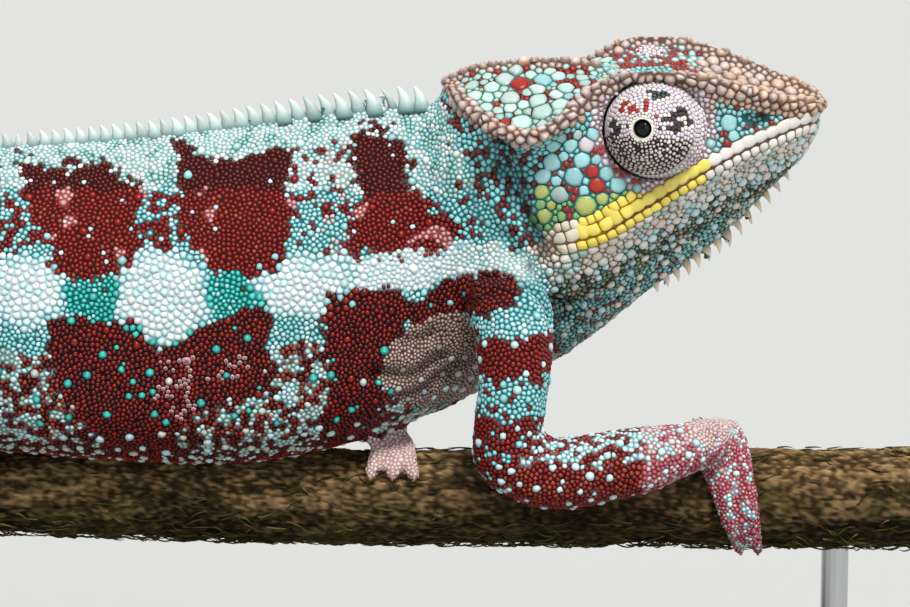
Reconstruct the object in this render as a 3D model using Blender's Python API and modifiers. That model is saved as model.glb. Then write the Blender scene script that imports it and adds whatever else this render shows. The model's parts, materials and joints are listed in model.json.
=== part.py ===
"""A life-size panther chameleon, gripping a short cut length of branch on a plain display stand.

The animal faces +X and +Z is up. Its own sizes are in millimetres, measured from the axis of the
branch under its shoulders, and MM turns them into metres. The origin of the finished part is the
middle of the stand's underside. The flesh is modelled whole, then parted with thin cuts into
head, jaw, neck, trunk, tail and limbs; eyes, claws, branch and stand are pieces of their own.
"""

import math

import bmesh
import bpy
from mathutils import Matrix, Vector

MM = 0.001

# Driving dimensions, in millimetres.
GAP = 0.3  # clearance between neighbouring pieces, and the width of each parting cut
CLEARANCE = 0.12  # added where a limb fits into the body, for the softened surfaces
# The branch: place along X, height of its axis, radius.
PERCH = [
    (-130.0, 1.0, 5.2),
    (-95.0, 0.9, 5.3),
    (-60.0, 0.75, 5.45),
    (-30.0, 0.3, 5.9),
    (-8.0, 0.1, 6.15),
    (20.0, 0.0, 6.25),
    (45.0, -0.1, 6.4),
    (66.0, -0.25, 6.55),
]
PERCH_HEIGHT = 50.0  # axis of the branch above the floor
BASE_SIZE = (206.0, 84.0, 8.0)
ROD_RADIUS = 1.8
ROD_SPREAD = 84.0  # each rod's distance from the middle of the base
BASE_MIDDLE = -34.0  # where the middle of the base lies along the animal
SOCKET_DEPTH = 5.0  # how far a rod runs into the base and into the branch

HEAD_ROLL = math.radians(10.0)  # the crown leans towards the animal's right
ROLL_AXIS_Z = 45.0
ROLL_FROM, ROLL_TO = -8.0, 5.0  # the neck takes up the roll between these places

EYE_MIDDLE = (25.0, 8.2, 51.3)  # of the left eye, before the roll
EYE_RADIUS = 6.2
PUPIL_RADIUS = 0.95
RIGHT_GAZE = (-0.27, -0.95, 0.11)
LEFT_GAZE = (0.30, 0.94, 0.12)

# Mesh fineness.
VOXEL = 0.42
SMOOTHING_STEPS = 5
BODY_TRIANGLES = 2100
LIMB_TRIANGLES = 280
STATION_STEP = 0.8
POINTS_A_SPAN = 6

# Trunk stations: place along X, height of back, height of belly, half width.
TRUNK = [
    (-112.0, 27.6, 18.6, 4.4),
    (-106.0, 30.2, 17.2, 6.6),
    (-98.0, 34.4, 15.2, 9.0),
    (-90.0, 38.4, 12.6, 10.9),
    (-80.0, 42.2, 9.2, 12.5),
    (-70.0, 44.6, 7.3, 13.6),
    (-58.0, 46.3, 6.0, 14.2),
    (-46.0, 47.1, 4.8, 14.4),
    (-33.0, 48.1, 4.1, 14.2),
    (-25.0, 49.0, 4.4, 13.6),
    (-17.0, 49.9, 6.1, 12.8),
    (-11.0, 50.6, 8.1, 12.0),
    (-7.0, 51.0, 9.5, 11.4),
    (-4.0, 51.2, 10.4, 11.0),
]
# A trunk section's outline between back and belly: share of the half width, share of the height.
TRUNK_OUTLINE = [(0.34, 0.93), (0.80, 0.70), (1.0, 0.42), (0.80, 0.12)]

# Head stations before the roll: place along X, crown, then (half width, height) of the ridge, temple,
# cheek and jaw, and the height of the throat's keel.
HEAD = [
    (-1.5, 53.6, (3.4, 52.4), (8.8, 45.5), (10.8, 33.5), (8.4, 19.0), 10.3),
    (2.0, 56.2, (8.2, 52.8), (9.4, 47.0), (10.9, 34.5), (8.4, 20.0), 12.0),
    (6.0, 57.0, (11.2, 51.4), (9.8, 47.0), (11.1, 36.0), (8.4, 22.0), 13.6),
    (10.0, 57.2, (12.0, 51.4), (10.2, 47.2), (11.6, 37.6), (8.6, 24.2), 15.0),
    (14.0, 57.3, (10.6, 53.4), (10.5, 48.4), (12.0, 39.2), (8.6, 26.8), 17.0),
    (18.0, 56.7, (7.4, 55.6), (10.1, 49.6), (12.0, 40.4), (8.4, 29.4), 20.1),
    (22.0, 56.3, (7.7, 57.3), (9.7, 50.2), (11.5, 42.2), (8.0, 32.4), 23.6),
    (26.0, 56.3, (8.0, 57.5), (9.4, 50.8), (10.7, 43.9), (7.2, 35.3), 27.0),
    (30.0, 56.1, (7.7, 57.0), (8.8, 51.5), (9.7, 45.8), (6.3, 38.0), 30.3),
    (35.0, 54.9, (6.9, 55.5), (7.6, 51.8), (8.3, 48.1), (5.1, 41.6), 34.4),
    (40.0, 53.6, (5.7, 54.0), (6.1, 51.6), (6.5, 49.6), (3.9, 44.8), 39.5),
    (44.0, 52.5, (4.3, 52.8), (4.5, 51.4), (4.7, 50.1), (2.8, 47.1), 43.4),
    (46.4, 51.9, (2.7, 52.0), (2.8, 51.1), (2.8, 50.1), (1.7, 48.6), 46.6),
]
SNOUT_TIP = (47.3, 0.0, 51.0)

# Raised lines of the head, on the left side before the roll: place and radius.
BROW_AND_CASQUE = [
    (47.6, 0.0, 52.2, 0.9),
    (46.0, 3.0, 52.6, 1.1),
    (43.0, 4.7, 53.5, 1.2),
    (39.0, 6.0, 54.8, 1.2),
    (35.0, 7.1, 56.2, 1.2),
    (31.0, 7.9, 57.4, 1.1),
    (27.0, 8.3, 58.0, 1.1),
    (23.0, 8.1, 58.0, 1.1),
    (19.8, 7.0, 56.8, 1.1),
    (17.4, 7.6, 55.4, 1.1),
    (15.4, 9.2, 54.2, 1.1),
    (13.3, 11.4, 53.0, 1.1),
    (10.5, 12.7, 51.8, 1.1),
    (7.5, 12.1, 51.4, 1.0),
    (4.6, 10.4, 52.2, 1.0),
    (2.2, 8.0, 53.3, 1.0),
    (0.2, 4.6, 54.2, 1.0),
    (-0.9, 1.4, 54.7, 0.9),
    (-1.0, 0.0, 54.8, 0.9),
]
PARIETAL_CREST = [
    (-1.0, 0.0, 54.8, 0.8),
    (2.0, 0.0, 56.4, 0.9),
    (6.0, 0.0, 57.2, 0.9),
    (13.0, 0.0, 57.6, 0.9),
    (17.5, 0.0, 57.2, 0.8),
    (21.0, 0.0, 56.4, 0.6),
]
MOUTH_LINE = [
    (13.3, 12.0, 36.8),
    (18.3, 12.2, 38.3),
    (23.4, 11.3, 41.2),
    (29.7, 9.8, 44.8),
    (36.2, 7.8, 48.0),
    (42.7, 4.9, 50.1),
    (45.4, 2.4, 50.5),
    (46.3, 0.0, 50.5),
]
LIP_RADIUS = 1.0
LIP_RISE = 0.95  # each lip's middle lies this far above or below the mouth line
# The parting behind and under the jaw, in the middle plane, from the corner of the mouth down.
JAW_PARTING = [(11.8, 34.5), (12.6, 28.0), (15.5, 12.0)]
MOUTH_FRONT = (54.0, 50.4)

# Limbs: place and radius along the middle of each.
RIGHT_ARM = [
    (6.4, -6.5, 29.6, 5.6),
    (7.0, -9.4, 27.2, 5.8),
    (7.6, -12.6, 22.5, 5.2),
    (7.4, -14.2, 17.5, 4.8),
    (6.6, -14.8, 12.4, 4.9),
    (6.9, -14.9, 8.4, 4.8),
    (10.4, -14.7, 6.6, 4.8),
    (15.0, -14.3, 6.4, 4.9),
    (20.0, -13.4, 7.1, 4.9),
    (25.5, -12.0, 8.0, 4.4),
    (30.0, -9.7, 8.7, 3.6),
    (32.9, -6.7, 8.9, 3.1),
    (34.3, -2.4, 8.6, 2.6),
    (34.7, 2.0, 8.3, 2.2),
]
LEFT_ARM = [
    (4.4, 7.0, 29.6, 5.6),
    (1.5, 10.4, 28.2, 5.5),
    (-5.5, 15.8, 25.2, 4.9),
    (-11.5, 19.8, 22.0, 4.7),
    (-14.2, 19.4, 18.6, 4.5),
    (-13.4, 15.4, 14.6, 4.4),
    (-11.4, 10.8, 11.6, 3.9),
    (-9.6, 6.6, 9.6, 3.1),
    (-8.6, 2.6, 8.4, 2.0),
    (-8.2, -1.6, 7.9, 1.5),
]
RIGHT_LEG = [
    (-97.0, -8.2, 24.4, 6.5),
    (-94.4, -11.0, 23.2, 6.4),
    (-88.0, -15.5, 21.5, 5.6),
    (-82.5, -19.0, 19.4, 5.0),
    (-80.4, -19.9, 15.6, 4.7),
    (-85.5, -18.0, 11.0, 4.6),
    (-94.5, -14.4, 9.0, 4.1),
    (-101.5, -10.8, 9.6, 3.6),
    (-105.5, -6.4, 9.8, 3.1),
    (-107.0, -2.0, 9.2, 2.7),
    (-107.2, 2.0, 8.8, 2.3),
]
LEFT_LEG = [
    (-96.6, 8.3, 24.8, 6.5),
    (-93.6, 11.0, 24.2, 6.4),
    (-86.0, 16.0, 22.4, 5.7),
    (-79.0, 20.2, 20.6, 5.0),
    (-77.2, 20.2, 17.4, 4.7),
    (-80.0, 17.6, 12.6, 4.8),
    (-85.0, 14.0, 10.2, 4.3),
    (-90.0, 10.4, 9.8, 3.6),
    (-92.6, 6.2, 9.8, 3.1),
    (-93.4, 2.0, 9.2, 2.7),
    (-93.6, -2.0, 8.8, 2.3),
]

# The two toe bundles of each foot: middle along the branch, side (+1 is the animal's left), number of
# toes, lowest angle on the branch, lean along X, spacing at the palm and at the tips, radius at the
# palm, length of the claws.
BUNDLES = {
    "hand_right_outer": (33.4, -1, 2, -40.0, 4.5, (4.0, 2.3), 2.5, 0.8),
    "hand_right_inner": (34.4, 1, 3, -26.0, 1.5, (1.4, 2.3), 2.0, 1.6),
    "hand_left_inner": (-8.1, -1, 3, 43.0, 0.0, (1.3, 2.5), 1.4, 0.7),
    "hand_left_outer": (-8.6, 1, 2, -24.0, -1.0, (1.4, 2.4), 1.9, 1.6),
    "foot_right_outer": (-107.4, -1, 3, -26.0, -1.0, (1.4, 2.4), 2.0, 1.6),
    "foot_right_inner": (-107.0, 1, 2, -22.0, -1.0, (1.4, 2.4), 2.0, 1.6),
    "foot_left_inner": (-93.6, -1, 2, -18.0, 1.0, (1.4, 2.4), 2.0, 1.6),
    "foot_left_outer": (-93.4, 1, 3, -26.0, 1.0, (1.4, 2.4), 2.0, 1.6),
}
TOE_TIP_RADIUS = 1.35
TOE_START = 98.0  # angle on the branch where the toes leave the palm
TOE_STEPS = 9
CLAW_RADIUS = 0.5

# Each limb: its line, the stations of its elbow and wrist, and the foot it ends in.
LIMBS = {
    "arm_right": (RIGHT_ARM, 5, 10, "hand_right"),
    "arm_left": (LEFT_ARM, 4, 7, "hand_left"),
    "leg_right": (RIGHT_LEG, 4, 7, "foot_right"),
    "leg_left": (LEFT_LEG, 4, 7, "foot_left"),
}

# The tail runs back from the hips, then coils down in a flat spiral.
TAIL_BASE = [
    (-96.0, 0.0, 25.0, 7.0),
    (-106.0, 0.0, 24.2, 6.7),
    (-116.0, 0.0, 23.6, 6.1),
    (-128.0, 0.0, 22.4, 5.5),
    (-140.0, 0.0, 20.4, 5.0),
]
COIL_MIDDLE = (-152.5, -2.9)
COIL_RADII = (20.5, 4.0)
COIL_START, COIL_TURN = 97.0, 540.0  # degrees
COIL_SHIFT = -2.0  # sideways, by the tip
TAIL_RADII = (4.6, 1.0)
COIL_STEPS = 44

# Where the tail is parted, by station, and the body, by place and the way the cut faces.
TAIL_CUTS = [2, 8, 17, 26, 36]
BODY_CUTS = [
    ((-55.0, 0.0, 27.0), (1.0, 0.0, 0.08)),
    ((-0.5, 0.0, 34.0), (36.0, 0.0, 17.0)),
    ((6.0, 0.0, 36.0), (36.0, 0.0, 16.5)),
]

# Spines of the back and of the throat: (place along X, spacing, height).
BACK_SPINES = [
    (-4.0, 2.1, 3.4),
    (-9.0, 2.0, 3.5),
    (-20.0, 1.9, 3.2),
    (-34.0, 1.55, 2.4),
    (-58.0, 1.6, 1.8),
    (-68.0, 2.2, 1.5),
    (-92.0, 2.4, 1.0),
]
THROAT_SPINES = [
    (44.0, 1.2, 1.2),
    (41.0, 1.25, 1.8),
    (36.0, 1.3, 2.2),
    (30.0, 1.3, 2.1),
    (25.6, 1.3, 1.2),
]
SPINE_ROOT = 0.8  # how far a spine starts inside the skin
SPINE_STAGGER = 0.09  # sideways, each to the other side than the last
SPINE_WIDTH = 1.35  # its length along the back, as a share of the spacing
SPINE_LEAN = 0.4  # how far its tip leans towards the tail, as a share of its height

COLOURS = {
    "skin": (0.36, 0.62, 0.60, 0.55, 0.0),
    "head": (0.42, 0.60, 0.56, 0.55, 0.0),
    "foot": (0.62, 0.36, 0.38, 0.6, 0.0),
    "eye": (0.66, 0.60, 0.62, 0.5, 0.0),
    "eyeball": (0.01, 0.01, 0.012, 0.1, 0.0),
    "claw": (0.62, 0.52, 0.42, 0.4, 0.0),
    "bark": (0.20, 0.13, 0.08, 0.85, 0.0),
    "base": (0.11, 0.07, 0.045, 0.45, 0.0),
    "metal": (0.55, 0.55, 0.56, 0.3, 1.0),
}


def on_span(before, a, b, after, t):
    """The number at share t of the way from a to b, on a smooth curve that also meets its neighbours."""
    square = 2 * before - 5 * a + 4 * b - after
    cube = 3 * a - before - 3 * b + after
    return 0.5 * (2 * a + (b - before) * t + square * t**2 + cube * t**3)


def smooth_curve(points, steps):
    """Points on a smooth curve through the given ones, steps to a span, with each number interpolated."""
    found = []
    last = len(points) - 1
    for i in range(last):
        span = [points[min(max(i + k, 0), last)] for k in (-1, 0, 1, 2)]
        for s in range(steps):
            found.append(tuple(on_span(*numbers, s / steps) for numbers in zip(*span)))
    found.append(tuple(points[-1]))
    return found


def eased(value, low, high):
    """0 below low, 1 above high, and a smooth step between."""
    t = min(max((value - low) / (high - low), 0.0), 1.0)
    return t * t * (3 - 2 * t)


def rolled(x, y, z):
    """A point of the head, turned about the head's long axis with the roll that the neck allows there."""
    angle = HEAD_ROLL * eased(x, ROLL_FROM, ROLL_TO)
    up = z - ROLL_AXIS_Z
    return (
        x,
        y * math.cos(angle) - up * math.sin(angle),
        ROLL_AXIS_Z + y * math.sin(angle) + up * math.cos(angle),
    )


def placed(point):
    """A point of the animal in the finished part's frame, in metres."""
    x, y, z = point[:3]
    return Vector((x - BASE_MIDDLE, y, z + PERCH_HEIGHT)) * MM


def linked(name, mesh, collection):
    made = bpy.data.objects.new(name, mesh)
    collection.objects.link(made)
    return made


def copied(made, collection):
    return linked(made.name, made.data.copy(), collection)


def evaluated_mesh(made):
    """The object's mesh with its modifiers applied."""
    bpy.context.view_layer.update()
    graph = bpy.context.evaluated_depsgraph_get()
    return bpy.data.meshes.new_from_object(made.evaluated_get(graph))


def bake_modifiers(made):
    mesh = evaluated_mesh(made)
    made.modifiers.clear()
    made.data = mesh
    return made


def tube(name, stations, collection, steps=3, sides=6):
    """A round body along a smooth line, from stations of place and radius, as a closed mesh."""
    curve = bpy.data.curves.new(name, "CURVE")
    curve.dimensions = "3D"
    curve.bevel_depth = MM
    curve.bevel_resolution = sides
    curve.use_fill_caps = True
    line = smooth_curve(stations, steps)
    spline = curve.splines.new("POLY")
    spline.points.add(len(line) - 1)
    for point, (x, y, z, radius) in zip(spline.points, line):
        point.co = (*placed((x, y, z)), 1.0)
        point.radius = radius
    guide = linked(name, curve, collection)
    mesh = evaluated_mesh(guide)
    bpy.data.objects.remove(guide)
    shape = bmesh.new()
    shape.from_mesh(mesh)
    bmesh.ops.remove_doubles(shape, verts=shape.verts, dist=1e-6)
    shape.to_mesh(mesh)
    shape.free()
    return linked(name, mesh, collection)


def loft(name, rings, tip, collection):
    """A closed body through rings of as many points each, ending at the tip."""
    shape = bmesh.new()
    rows = [[shape.verts.new(placed(point)) for point in ring] for ring in rings]
    for one, two in zip(rows, rows[1:]):
        for i in range(len(one)):
            j = (i + 1) % len(one)
            shape.faces.new((one[i], one[j], two[j], two[i]))
    shape.faces.new(rows[0])
    point = shape.verts.new(placed(tip))
    for i in range(len(rows[-1])):
        shape.faces.new((rows[-1][i], rows[-1][(i + 1) % len(rows[-1])], point))
    bmesh.ops.recalc_face_normals(shape, faces=shape.faces)
    mesh = bpy.data.meshes.new(name)
    shape.to_mesh(mesh)
    shape.free()
    return linked(name, mesh, collection)


def trunk_station(x, back, belly, half_width):
    tall = back - belly
    outline = [(half_width * w, belly + tall * h) for w, h in TRUNK_OUTLINE]
    return (x, back, *outline, belly)


def section_ring(station):
    """The closed outline of one station: crown, four points a side, keel, smoothed and rolled."""
    x, crown, ridge, temple, cheek, jaw, keel = station
    half = [ridge, temple, cheek, jaw]
    corners = [(0.0, crown), *half, (0.0, keel), *((-y, z) for y, z in reversed(half))]
    count = len(corners)
    ring = []
    for i in range(count):
        span = [corners[(i + k) % count] for k in (-1, 0, 1, 2)]
        ring += smooth_curve(span, POINTS_A_SPAN)[POINTS_A_SPAN : 2 * POINTS_A_SPAN]
    return [rolled(x, y, z) for y, z in ring]


def flat_station(station):
    """A station as one flat tuple of numbers, so that it can be interpolated."""
    x, crown, ridge, temple, cheek, jaw, keel = station
    return (x, crown, *ridge, *temple, *cheek, *jaw, keel)


def full_station(numbers):
    x, crown, *pairs, keel = numbers
    return (x, crown, *zip(pairs[::2], pairs[1::2]), keel)


def body_stations():
    """All stations from hips to snout, about STATION_STEP apart."""
    coarse = [flat_station(s) for s in [*(trunk_station(*t) for t in TRUNK), *HEAD]]
    fine = []
    for i in range(len(coarse) - 1):
        span = [coarse[min(max(i + k, 0), len(coarse) - 1)] for k in (-1, 0, 1, 2)]
        steps = max(2, round((span[2][0] - span[1][0]) / STATION_STEP))
        first = 0 if i == 0 else steps
        fine += smooth_curve(span[1:] if i == 0 else span, steps)[first : first + steps]
    fine.append(coarse[-1])
    return [full_station(numbers) for numbers in fine]


def mirrored(line):
    return [(x, -y, z, *rest) for x, y, z, *rest in line]


def head_tube(name, line, collection):
    return tube(name, [(*rolled(x, y, z), r) for x, y, z, r in line], collection)


def lips(collection):
    """Upper and lower lip on both sides of the mouth line."""
    made = []
    for side, line in (("left", MOUTH_LINE), ("right", mirrored(MOUTH_LINE))):
        for name, rise in (("upper", LIP_RISE), ("lower", -LIP_RISE)):
            thick = [LIP_RADIUS * min(1.0, 0.55 + 0.25 * i) for i in range(len(line))]
            path = [(x, y * 0.95, z + rise, r) for (x, y, z), r in zip(line, thick)]
            made.append(head_tube(f"lip_{name}_{side}", path, collection))
    return made


def branch_at(x):
    """Height of the branch's axis, and its radius, at a place along it."""
    return spline_value(PERCH, x, 1), spline_value(PERCH, x, 2)


def on_branch(x, side, angle, away):
    """A point at this angle above the level, this far off the branch's surface, on one side."""
    height, radius = branch_at(x)
    reach = radius + away
    return (x, side * reach * math.cos(angle), height + reach * math.sin(angle))


def toe_line(bundle, place):
    """Stations of one toe, from the palm round the branch to its tip; place counts from the middle toe."""
    x, side, _, low, lean, (close, wide), thick, _ = bundle
    line = []
    for k in range(TOE_STEPS + 1):
        t = k / TOE_STEPS
        angle = math.radians(TOE_START + (low - TOE_START) * t)
        radius = thick + (TOE_TIP_RADIUS - thick) * t
        apart = place * (close + (wide - close) * t)
        line.append((*on_branch(x + lean * t + apart, side, angle, 0.85 * radius), radius))
    x_tip, y_tip, z_tip, radius = line[-1]
    step = [b - a for a, b in zip(line[-2][:3], line[-1][:3])]
    length = math.hypot(*step)
    nose = [p + radius * 0.75 * d / length for p, d in zip((x_tip, y_tip, z_tip), step)]
    line.append((*nose, radius * 0.55))
    return line


def toe_places(bundle):
    return [i - (bundle[2] - 1) / 2 for i in range(bundle[2])]


def toe_lines(foot):
    """The lines of all toes of one foot."""
    bundles = [bundle for name, bundle in BUNDLES.items() if name.startswith(foot)]
    return [toe_line(bundle, place) for bundle in bundles for place in toe_places(bundle)]


def grown(line, extra):
    """The line with every radius and both ends pushed out by extra."""
    line = [(*station[:3], station[3] + extra) for station in line]
    for end, inner in ((0, 1), (-1, -2)):
        tip, back = Vector(line[end][:3]), Vector(line[inner][:3])
        line[end] = (*(tip + (tip - back).normalized() * extra), line[end][3])
    return line


def tail_line():
    """Stations of the tail from hips to tip."""
    line = list(TAIL_BASE)
    for k in range(COIL_STEPS + 1):
        t = k / COIL_STEPS
        angle = math.radians(COIL_START + COIL_TURN * t)
        reach = COIL_RADII[0] + (COIL_RADII[1] - COIL_RADII[0]) * t
        line.append(
            (
                COIL_MIDDLE[0] + reach * math.cos(angle),
                COIL_SHIFT * t,
                COIL_MIDDLE[1] + reach * math.sin(angle),
                TAIL_RADII[0] + (TAIL_RADII[1] - TAIL_RADII[0]) * t,
            )
        )
    return line


def joined(objects, name):
    """One object from several meshes, kept as overlapping shells."""
    shape = bmesh.new()
    for made in objects:
        shape.from_mesh(made.data)
    mesh = bpy.data.meshes.new(name)
    shape.to_mesh(mesh)
    shape.free()
    collection = objects[0].users_collection[0]
    for made in objects:
        bpy.data.objects.remove(made)
    return linked(name, mesh, collection)


def one_skin(parts, name, triangles):
    """One smooth closed mesh of about this many triangles round overlapping parts."""
    made = joined(parts, name)
    remesh = made.modifiers.new("one skin", "REMESH")
    remesh.mode = "VOXEL"
    remesh.voxel_size = VOXEL * MM
    smooth = made.modifiers.new("soften", "SMOOTH")
    smooth.iterations = SMOOTHING_STEPS
    smooth.factor = 0.5
    bake_modifiers(made)
    made.data.calc_loop_triangles()
    thin = made.modifiers.new("thin out", "DECIMATE")
    thin.ratio = triangles / len(made.data.loop_triangles)
    return bake_modifiers(made)


def make_body(collection):
    """Head, trunk and tail as one smooth closed mesh, without spines."""
    parts = [loft("body", [section_ring(s) for s in body_stations()], rolled(*SNOUT_TIP), collection)]
    parts.append(head_tube("crest_left", BROW_AND_CASQUE, collection))
    parts.append(head_tube("crest_right", mirrored(BROW_AND_CASQUE), collection))
    parts.append(head_tube("crest_middle", PARIETAL_CREST, collection))
    parts += lips(collection)
    parts.append(tube("tail", tail_line(), collection))
    return one_skin(parts, "body", BODY_TRIANGLES)


def limb_shapes(name, extra, collection, steps, sides):
    """The overlapping tubes of one limb and its toes, grown by extra."""
    line, _, _, foot = LIMBS[name]
    shapes = [tube(name, grown(line, extra), collection, steps=steps, sides=sides)]
    for toe in toe_lines(foot):
        shapes.append(tube(f"{name}_toe", grown(toe, extra), collection, steps=1, sides=sides - 2))
    return shapes


def boolean(target, other, operation, self_overlap=False):
    """The target with the other joined to it or cut from it. The other is used up."""
    modifier = target.modifiers.new(operation, "BOOLEAN")
    modifier.operation = operation
    modifier.solver = "EXACT"
    modifier.use_self = self_overlap
    modifier.object = other
    bake_modifiers(target)
    bpy.data.objects.remove(other)
    return target


def spline_value(knots, x, column):
    """The value in a column of a table that is ordered by its first number, between its rows."""
    rows = sorted(knots)
    if x <= rows[0][0]:
        return rows[0][column]
    for a, b in zip(rows, rows[1:]):
        if x <= b[0]:
            return a[column] + (b[column] - a[column]) * (x - a[0]) / (b[0] - a[0])
    return rows[-1][column]


def spine_places(knots):
    """(place along X, spacing, height) of each spine, from the first knot to the last."""
    x, last = knots[0][0], knots[-1][0]
    found = []
    while (x - last) * (knots[0][0] - last) >= 0:
        gap = spline_value(knots, x, 1)
        found.append((x, gap, spline_value(knots, x, 2)))
        x -= gap
    return found


def middle_line(body, x, up):
    """The point where the body's middle plane meets the back (up is 1) or the throat (up is -1)."""
    y = rolled(x, 0.0, 56.0 if up > 0 else 38.0)[1]
    _, point, *_ = body.ray_cast(placed((x, y, 90.0 if up > 0 else -4.0)), Vector((0, 0, -up)))
    return Vector((x, y, point.z / MM - PERCH_HEIGHT))


def spine(name, root, along, outward, height, length, collection):
    """One four-sided spine, flattened sideways, leaning along the line it stands on."""
    foot = root - outward * SPINE_ROOT
    tip = root + outward * height + along * height * SPINE_LEAN
    side = Vector((0.0, length * 0.36, 0.0))
    shape = bmesh.new()
    corners = [foot + along * length / 2, foot + side, foot - along * length / 2, foot - side]
    ring = [shape.verts.new(placed(corner)) for corner in corners]
    point = shape.verts.new(placed(tip))
    shape.faces.new(ring)
    for k in range(4):
        shape.faces.new((ring[k], ring[(k + 1) % 4], point))
    bmesh.ops.recalc_face_normals(shape, faces=shape.faces)
    mesh = bpy.data.meshes.new(name)
    shape.to_mesh(mesh)
    shape.free()
    return linked(name, mesh, collection)


def add_spines(body, collection):
    """Crest of the back and beard of the throat, joined to what they grow from."""
    made = []
    for up, knots in ((1, BACK_SPINES), (-1, THROAT_SPINES)):
        for i, (x, gap, height) in enumerate(spine_places(knots)):
            here, behind = middle_line(body, x, up), middle_line(body, x - gap / 2, up)
            along = (behind - here).normalized()
            outward = Vector((along.z, 0.0, -along.x)) * up
            here.y += SPINE_STAGGER * (-1) ** i
            made.append(spine("spine", here, along, outward, height, gap * SPINE_WIDTH, collection))
    for one in made:
        boolean(body, one, "UNION")


def gaze_frame(middle, gaze):
    """The matrix that stands a turned shape on its axis at the eye, looking along the gaze."""
    turn = Vector(gaze).normalized().to_track_quat("Z", "X").to_matrix().to_4x4()
    return Matrix.Translation(placed(middle)) @ turn


def turned(name, profile, frame, collection, steps=28):
    """A closed body turned about its own Z axis from a profile of (radius, height) in millimetres."""
    shape = bmesh.new()
    rings = []
    for radius, height in profile:
        if radius == 0:
            rings.append([shape.verts.new((0, 0, height * MM))])
        else:
            rings.append(
                [
                    shape.verts.new(
                        (
                            radius * MM * math.cos(2 * math.pi * k / steps),
                            radius * MM * math.sin(2 * math.pi * k / steps),
                            height * MM,
                        )
                    )
                    for k in range(steps)
                ]
            )
    for one, two in zip(rings, rings[1:]):
        for k in range(steps):
            j = (k + 1) % steps
            if len(one) == 1:
                shape.faces.new((one[0], two[k], two[j]))
            elif len(two) == 1:
                shape.faces.new((one[k], one[j], two[0]))
            else:
                shape.faces.new((one[k], one[j], two[j], two[k]))
    bmesh.ops.recalc_face_normals(shape, faces=shape.faces)
    mesh = bpy.data.meshes.new(name)
    shape.to_mesh(mesh)
    shape.free()
    mesh.transform(frame)
    return linked(name, mesh, collection)


def turret_profile(extra):
    """Outer profile of the eye turret from back to the rim of its opening, grown by extra."""
    radius = EYE_RADIUS + extra
    back = [(radius * math.sin(a), -radius * math.cos(a)) for a in (0.0, 0.55, 1.1, 1.57)]
    front = [(0.95, 0.27), (0.80, 0.57), (0.52, 0.88), (0.27, 1.02)]
    return [(max(r, 0.0), h) for r, h in back] + [(radius * r, radius * h) for r, h in front]


def make_eye(side, collection, flesh):
    """Turret and eyeball of one side, and the orbit cut for them in the flesh."""
    y_sign, gaze = (1, LEFT_GAZE) if side == "left" else (-1, RIGHT_GAZE)
    x, y, z = EYE_MIDDLE
    frame = gaze_frame(rolled(x, y_sign * y, z), gaze)
    orbit = turned("orbit", [*turret_profile(GAP), (0.0, EYE_RADIUS * 1.06)], frame, collection, steps=18)
    boolean(flesh, orbit, "DIFFERENCE")
    front = EYE_RADIUS * 1.02
    floor = front - 2.0
    hole = PUPIL_RADIUS + 0.2
    recess = [(hole, front), (hole, floor), (0.0, floor)]
    profile = turret_profile(0.0)
    turret = turned(f"eye_turret_{side}", [*profile, *recess], frame, collection, steps=16)
    ball = [
        (PUPIL_RADIUS * math.sin(a), floor + GAP + PUPIL_RADIUS * (1 - math.cos(a)))
        for a in (0.0, 0.7, 1.4, 2.1, math.pi)
    ]
    ball[0] = (0.0, ball[0][1])
    ball[-1] = (0.0, ball[-1][1])
    eyeball = turned(f"eyeball_{side}", ball, frame, collection, steps=8)
    return turret, eyeball


def perch_line(extra):
    """Stations of the branch, grown by extra."""
    return [(x, 0.0, height, radius + extra) for x, height, radius in PERCH]


def make_claws(collection):
    """A claw at the tip of each toe, named for its bundle and counted from the rear."""
    made = []
    for name, bundle in BUNDLES.items():
        length = bundle[7]
        for i, place in enumerate(toe_places(bundle)):
            line = toe_line(bundle, place)
            tip = Vector(line[-1][:3])
            along = (tip - Vector(line[-3][:3])).normalized()
            outward = Vector((0, tip.y, tip.z - branch_at(tip.x)[0])).normalized()
            axis = (along + outward * 0.1).normalized()
            root = tip + axis * (GAP + 0.25)
            frame = Matrix.Translation(placed(root)) @ axis.to_track_quat("Z", "X").to_matrix().to_4x4()
            profile = [(0.0, 0.0), (CLAW_RADIUS, 0.0), (CLAW_RADIUS * 0.6, length * 0.55), (0.0, length)]
            made.append(turned(f"claw_{name}_{i + 1}", profile, frame, collection, steps=6))
    return made


def disc(middle, normal, radius, collection):
    """A thin round cutter, GAP thick, at a parting of the flesh."""
    shape = bmesh.new()
    bmesh.ops.create_cone(
        shape, cap_ends=True, segments=32, radius1=radius * MM, radius2=radius * MM, depth=GAP * MM
    )
    mesh = bpy.data.meshes.new("disc")
    shape.to_mesh(mesh)
    shape.free()
    turn = Vector(normal).normalized().to_track_quat("Z", "X").to_matrix().to_4x4()
    mesh.transform(Matrix.Translation(placed(middle)) @ turn)
    return linked("disc", mesh, collection)


def mouth_ribbon(collection):
    """A thin curved cutter through the mouth line and down behind the jaw."""
    line = [(x, z) for x, _, z in MOUTH_LINE][:-1]
    line = [*reversed(JAW_PARTING), *line, MOUTH_FRONT]
    shape = bmesh.new()
    edges = []
    for side in (-24.0, 24.0):
        edges.append([shape.verts.new(placed(rolled(x, side, z))) for x, z in line])
    for i in range(len(line) - 1):
        shape.faces.new((edges[0][i], edges[0][i + 1], edges[1][i + 1], edges[1][i]))
    bmesh.ops.recalc_face_normals(shape, faces=shape.faces)
    mesh = bpy.data.meshes.new("mouth_ribbon")
    shape.to_mesh(mesh)
    shape.free()
    made = linked("mouth_ribbon", mesh, collection)
    solid = made.modifiers.new("thickness", "SOLIDIFY")
    solid.thickness = GAP * MM
    solid.offset = 0.0
    return bake_modifiers(made)


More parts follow.
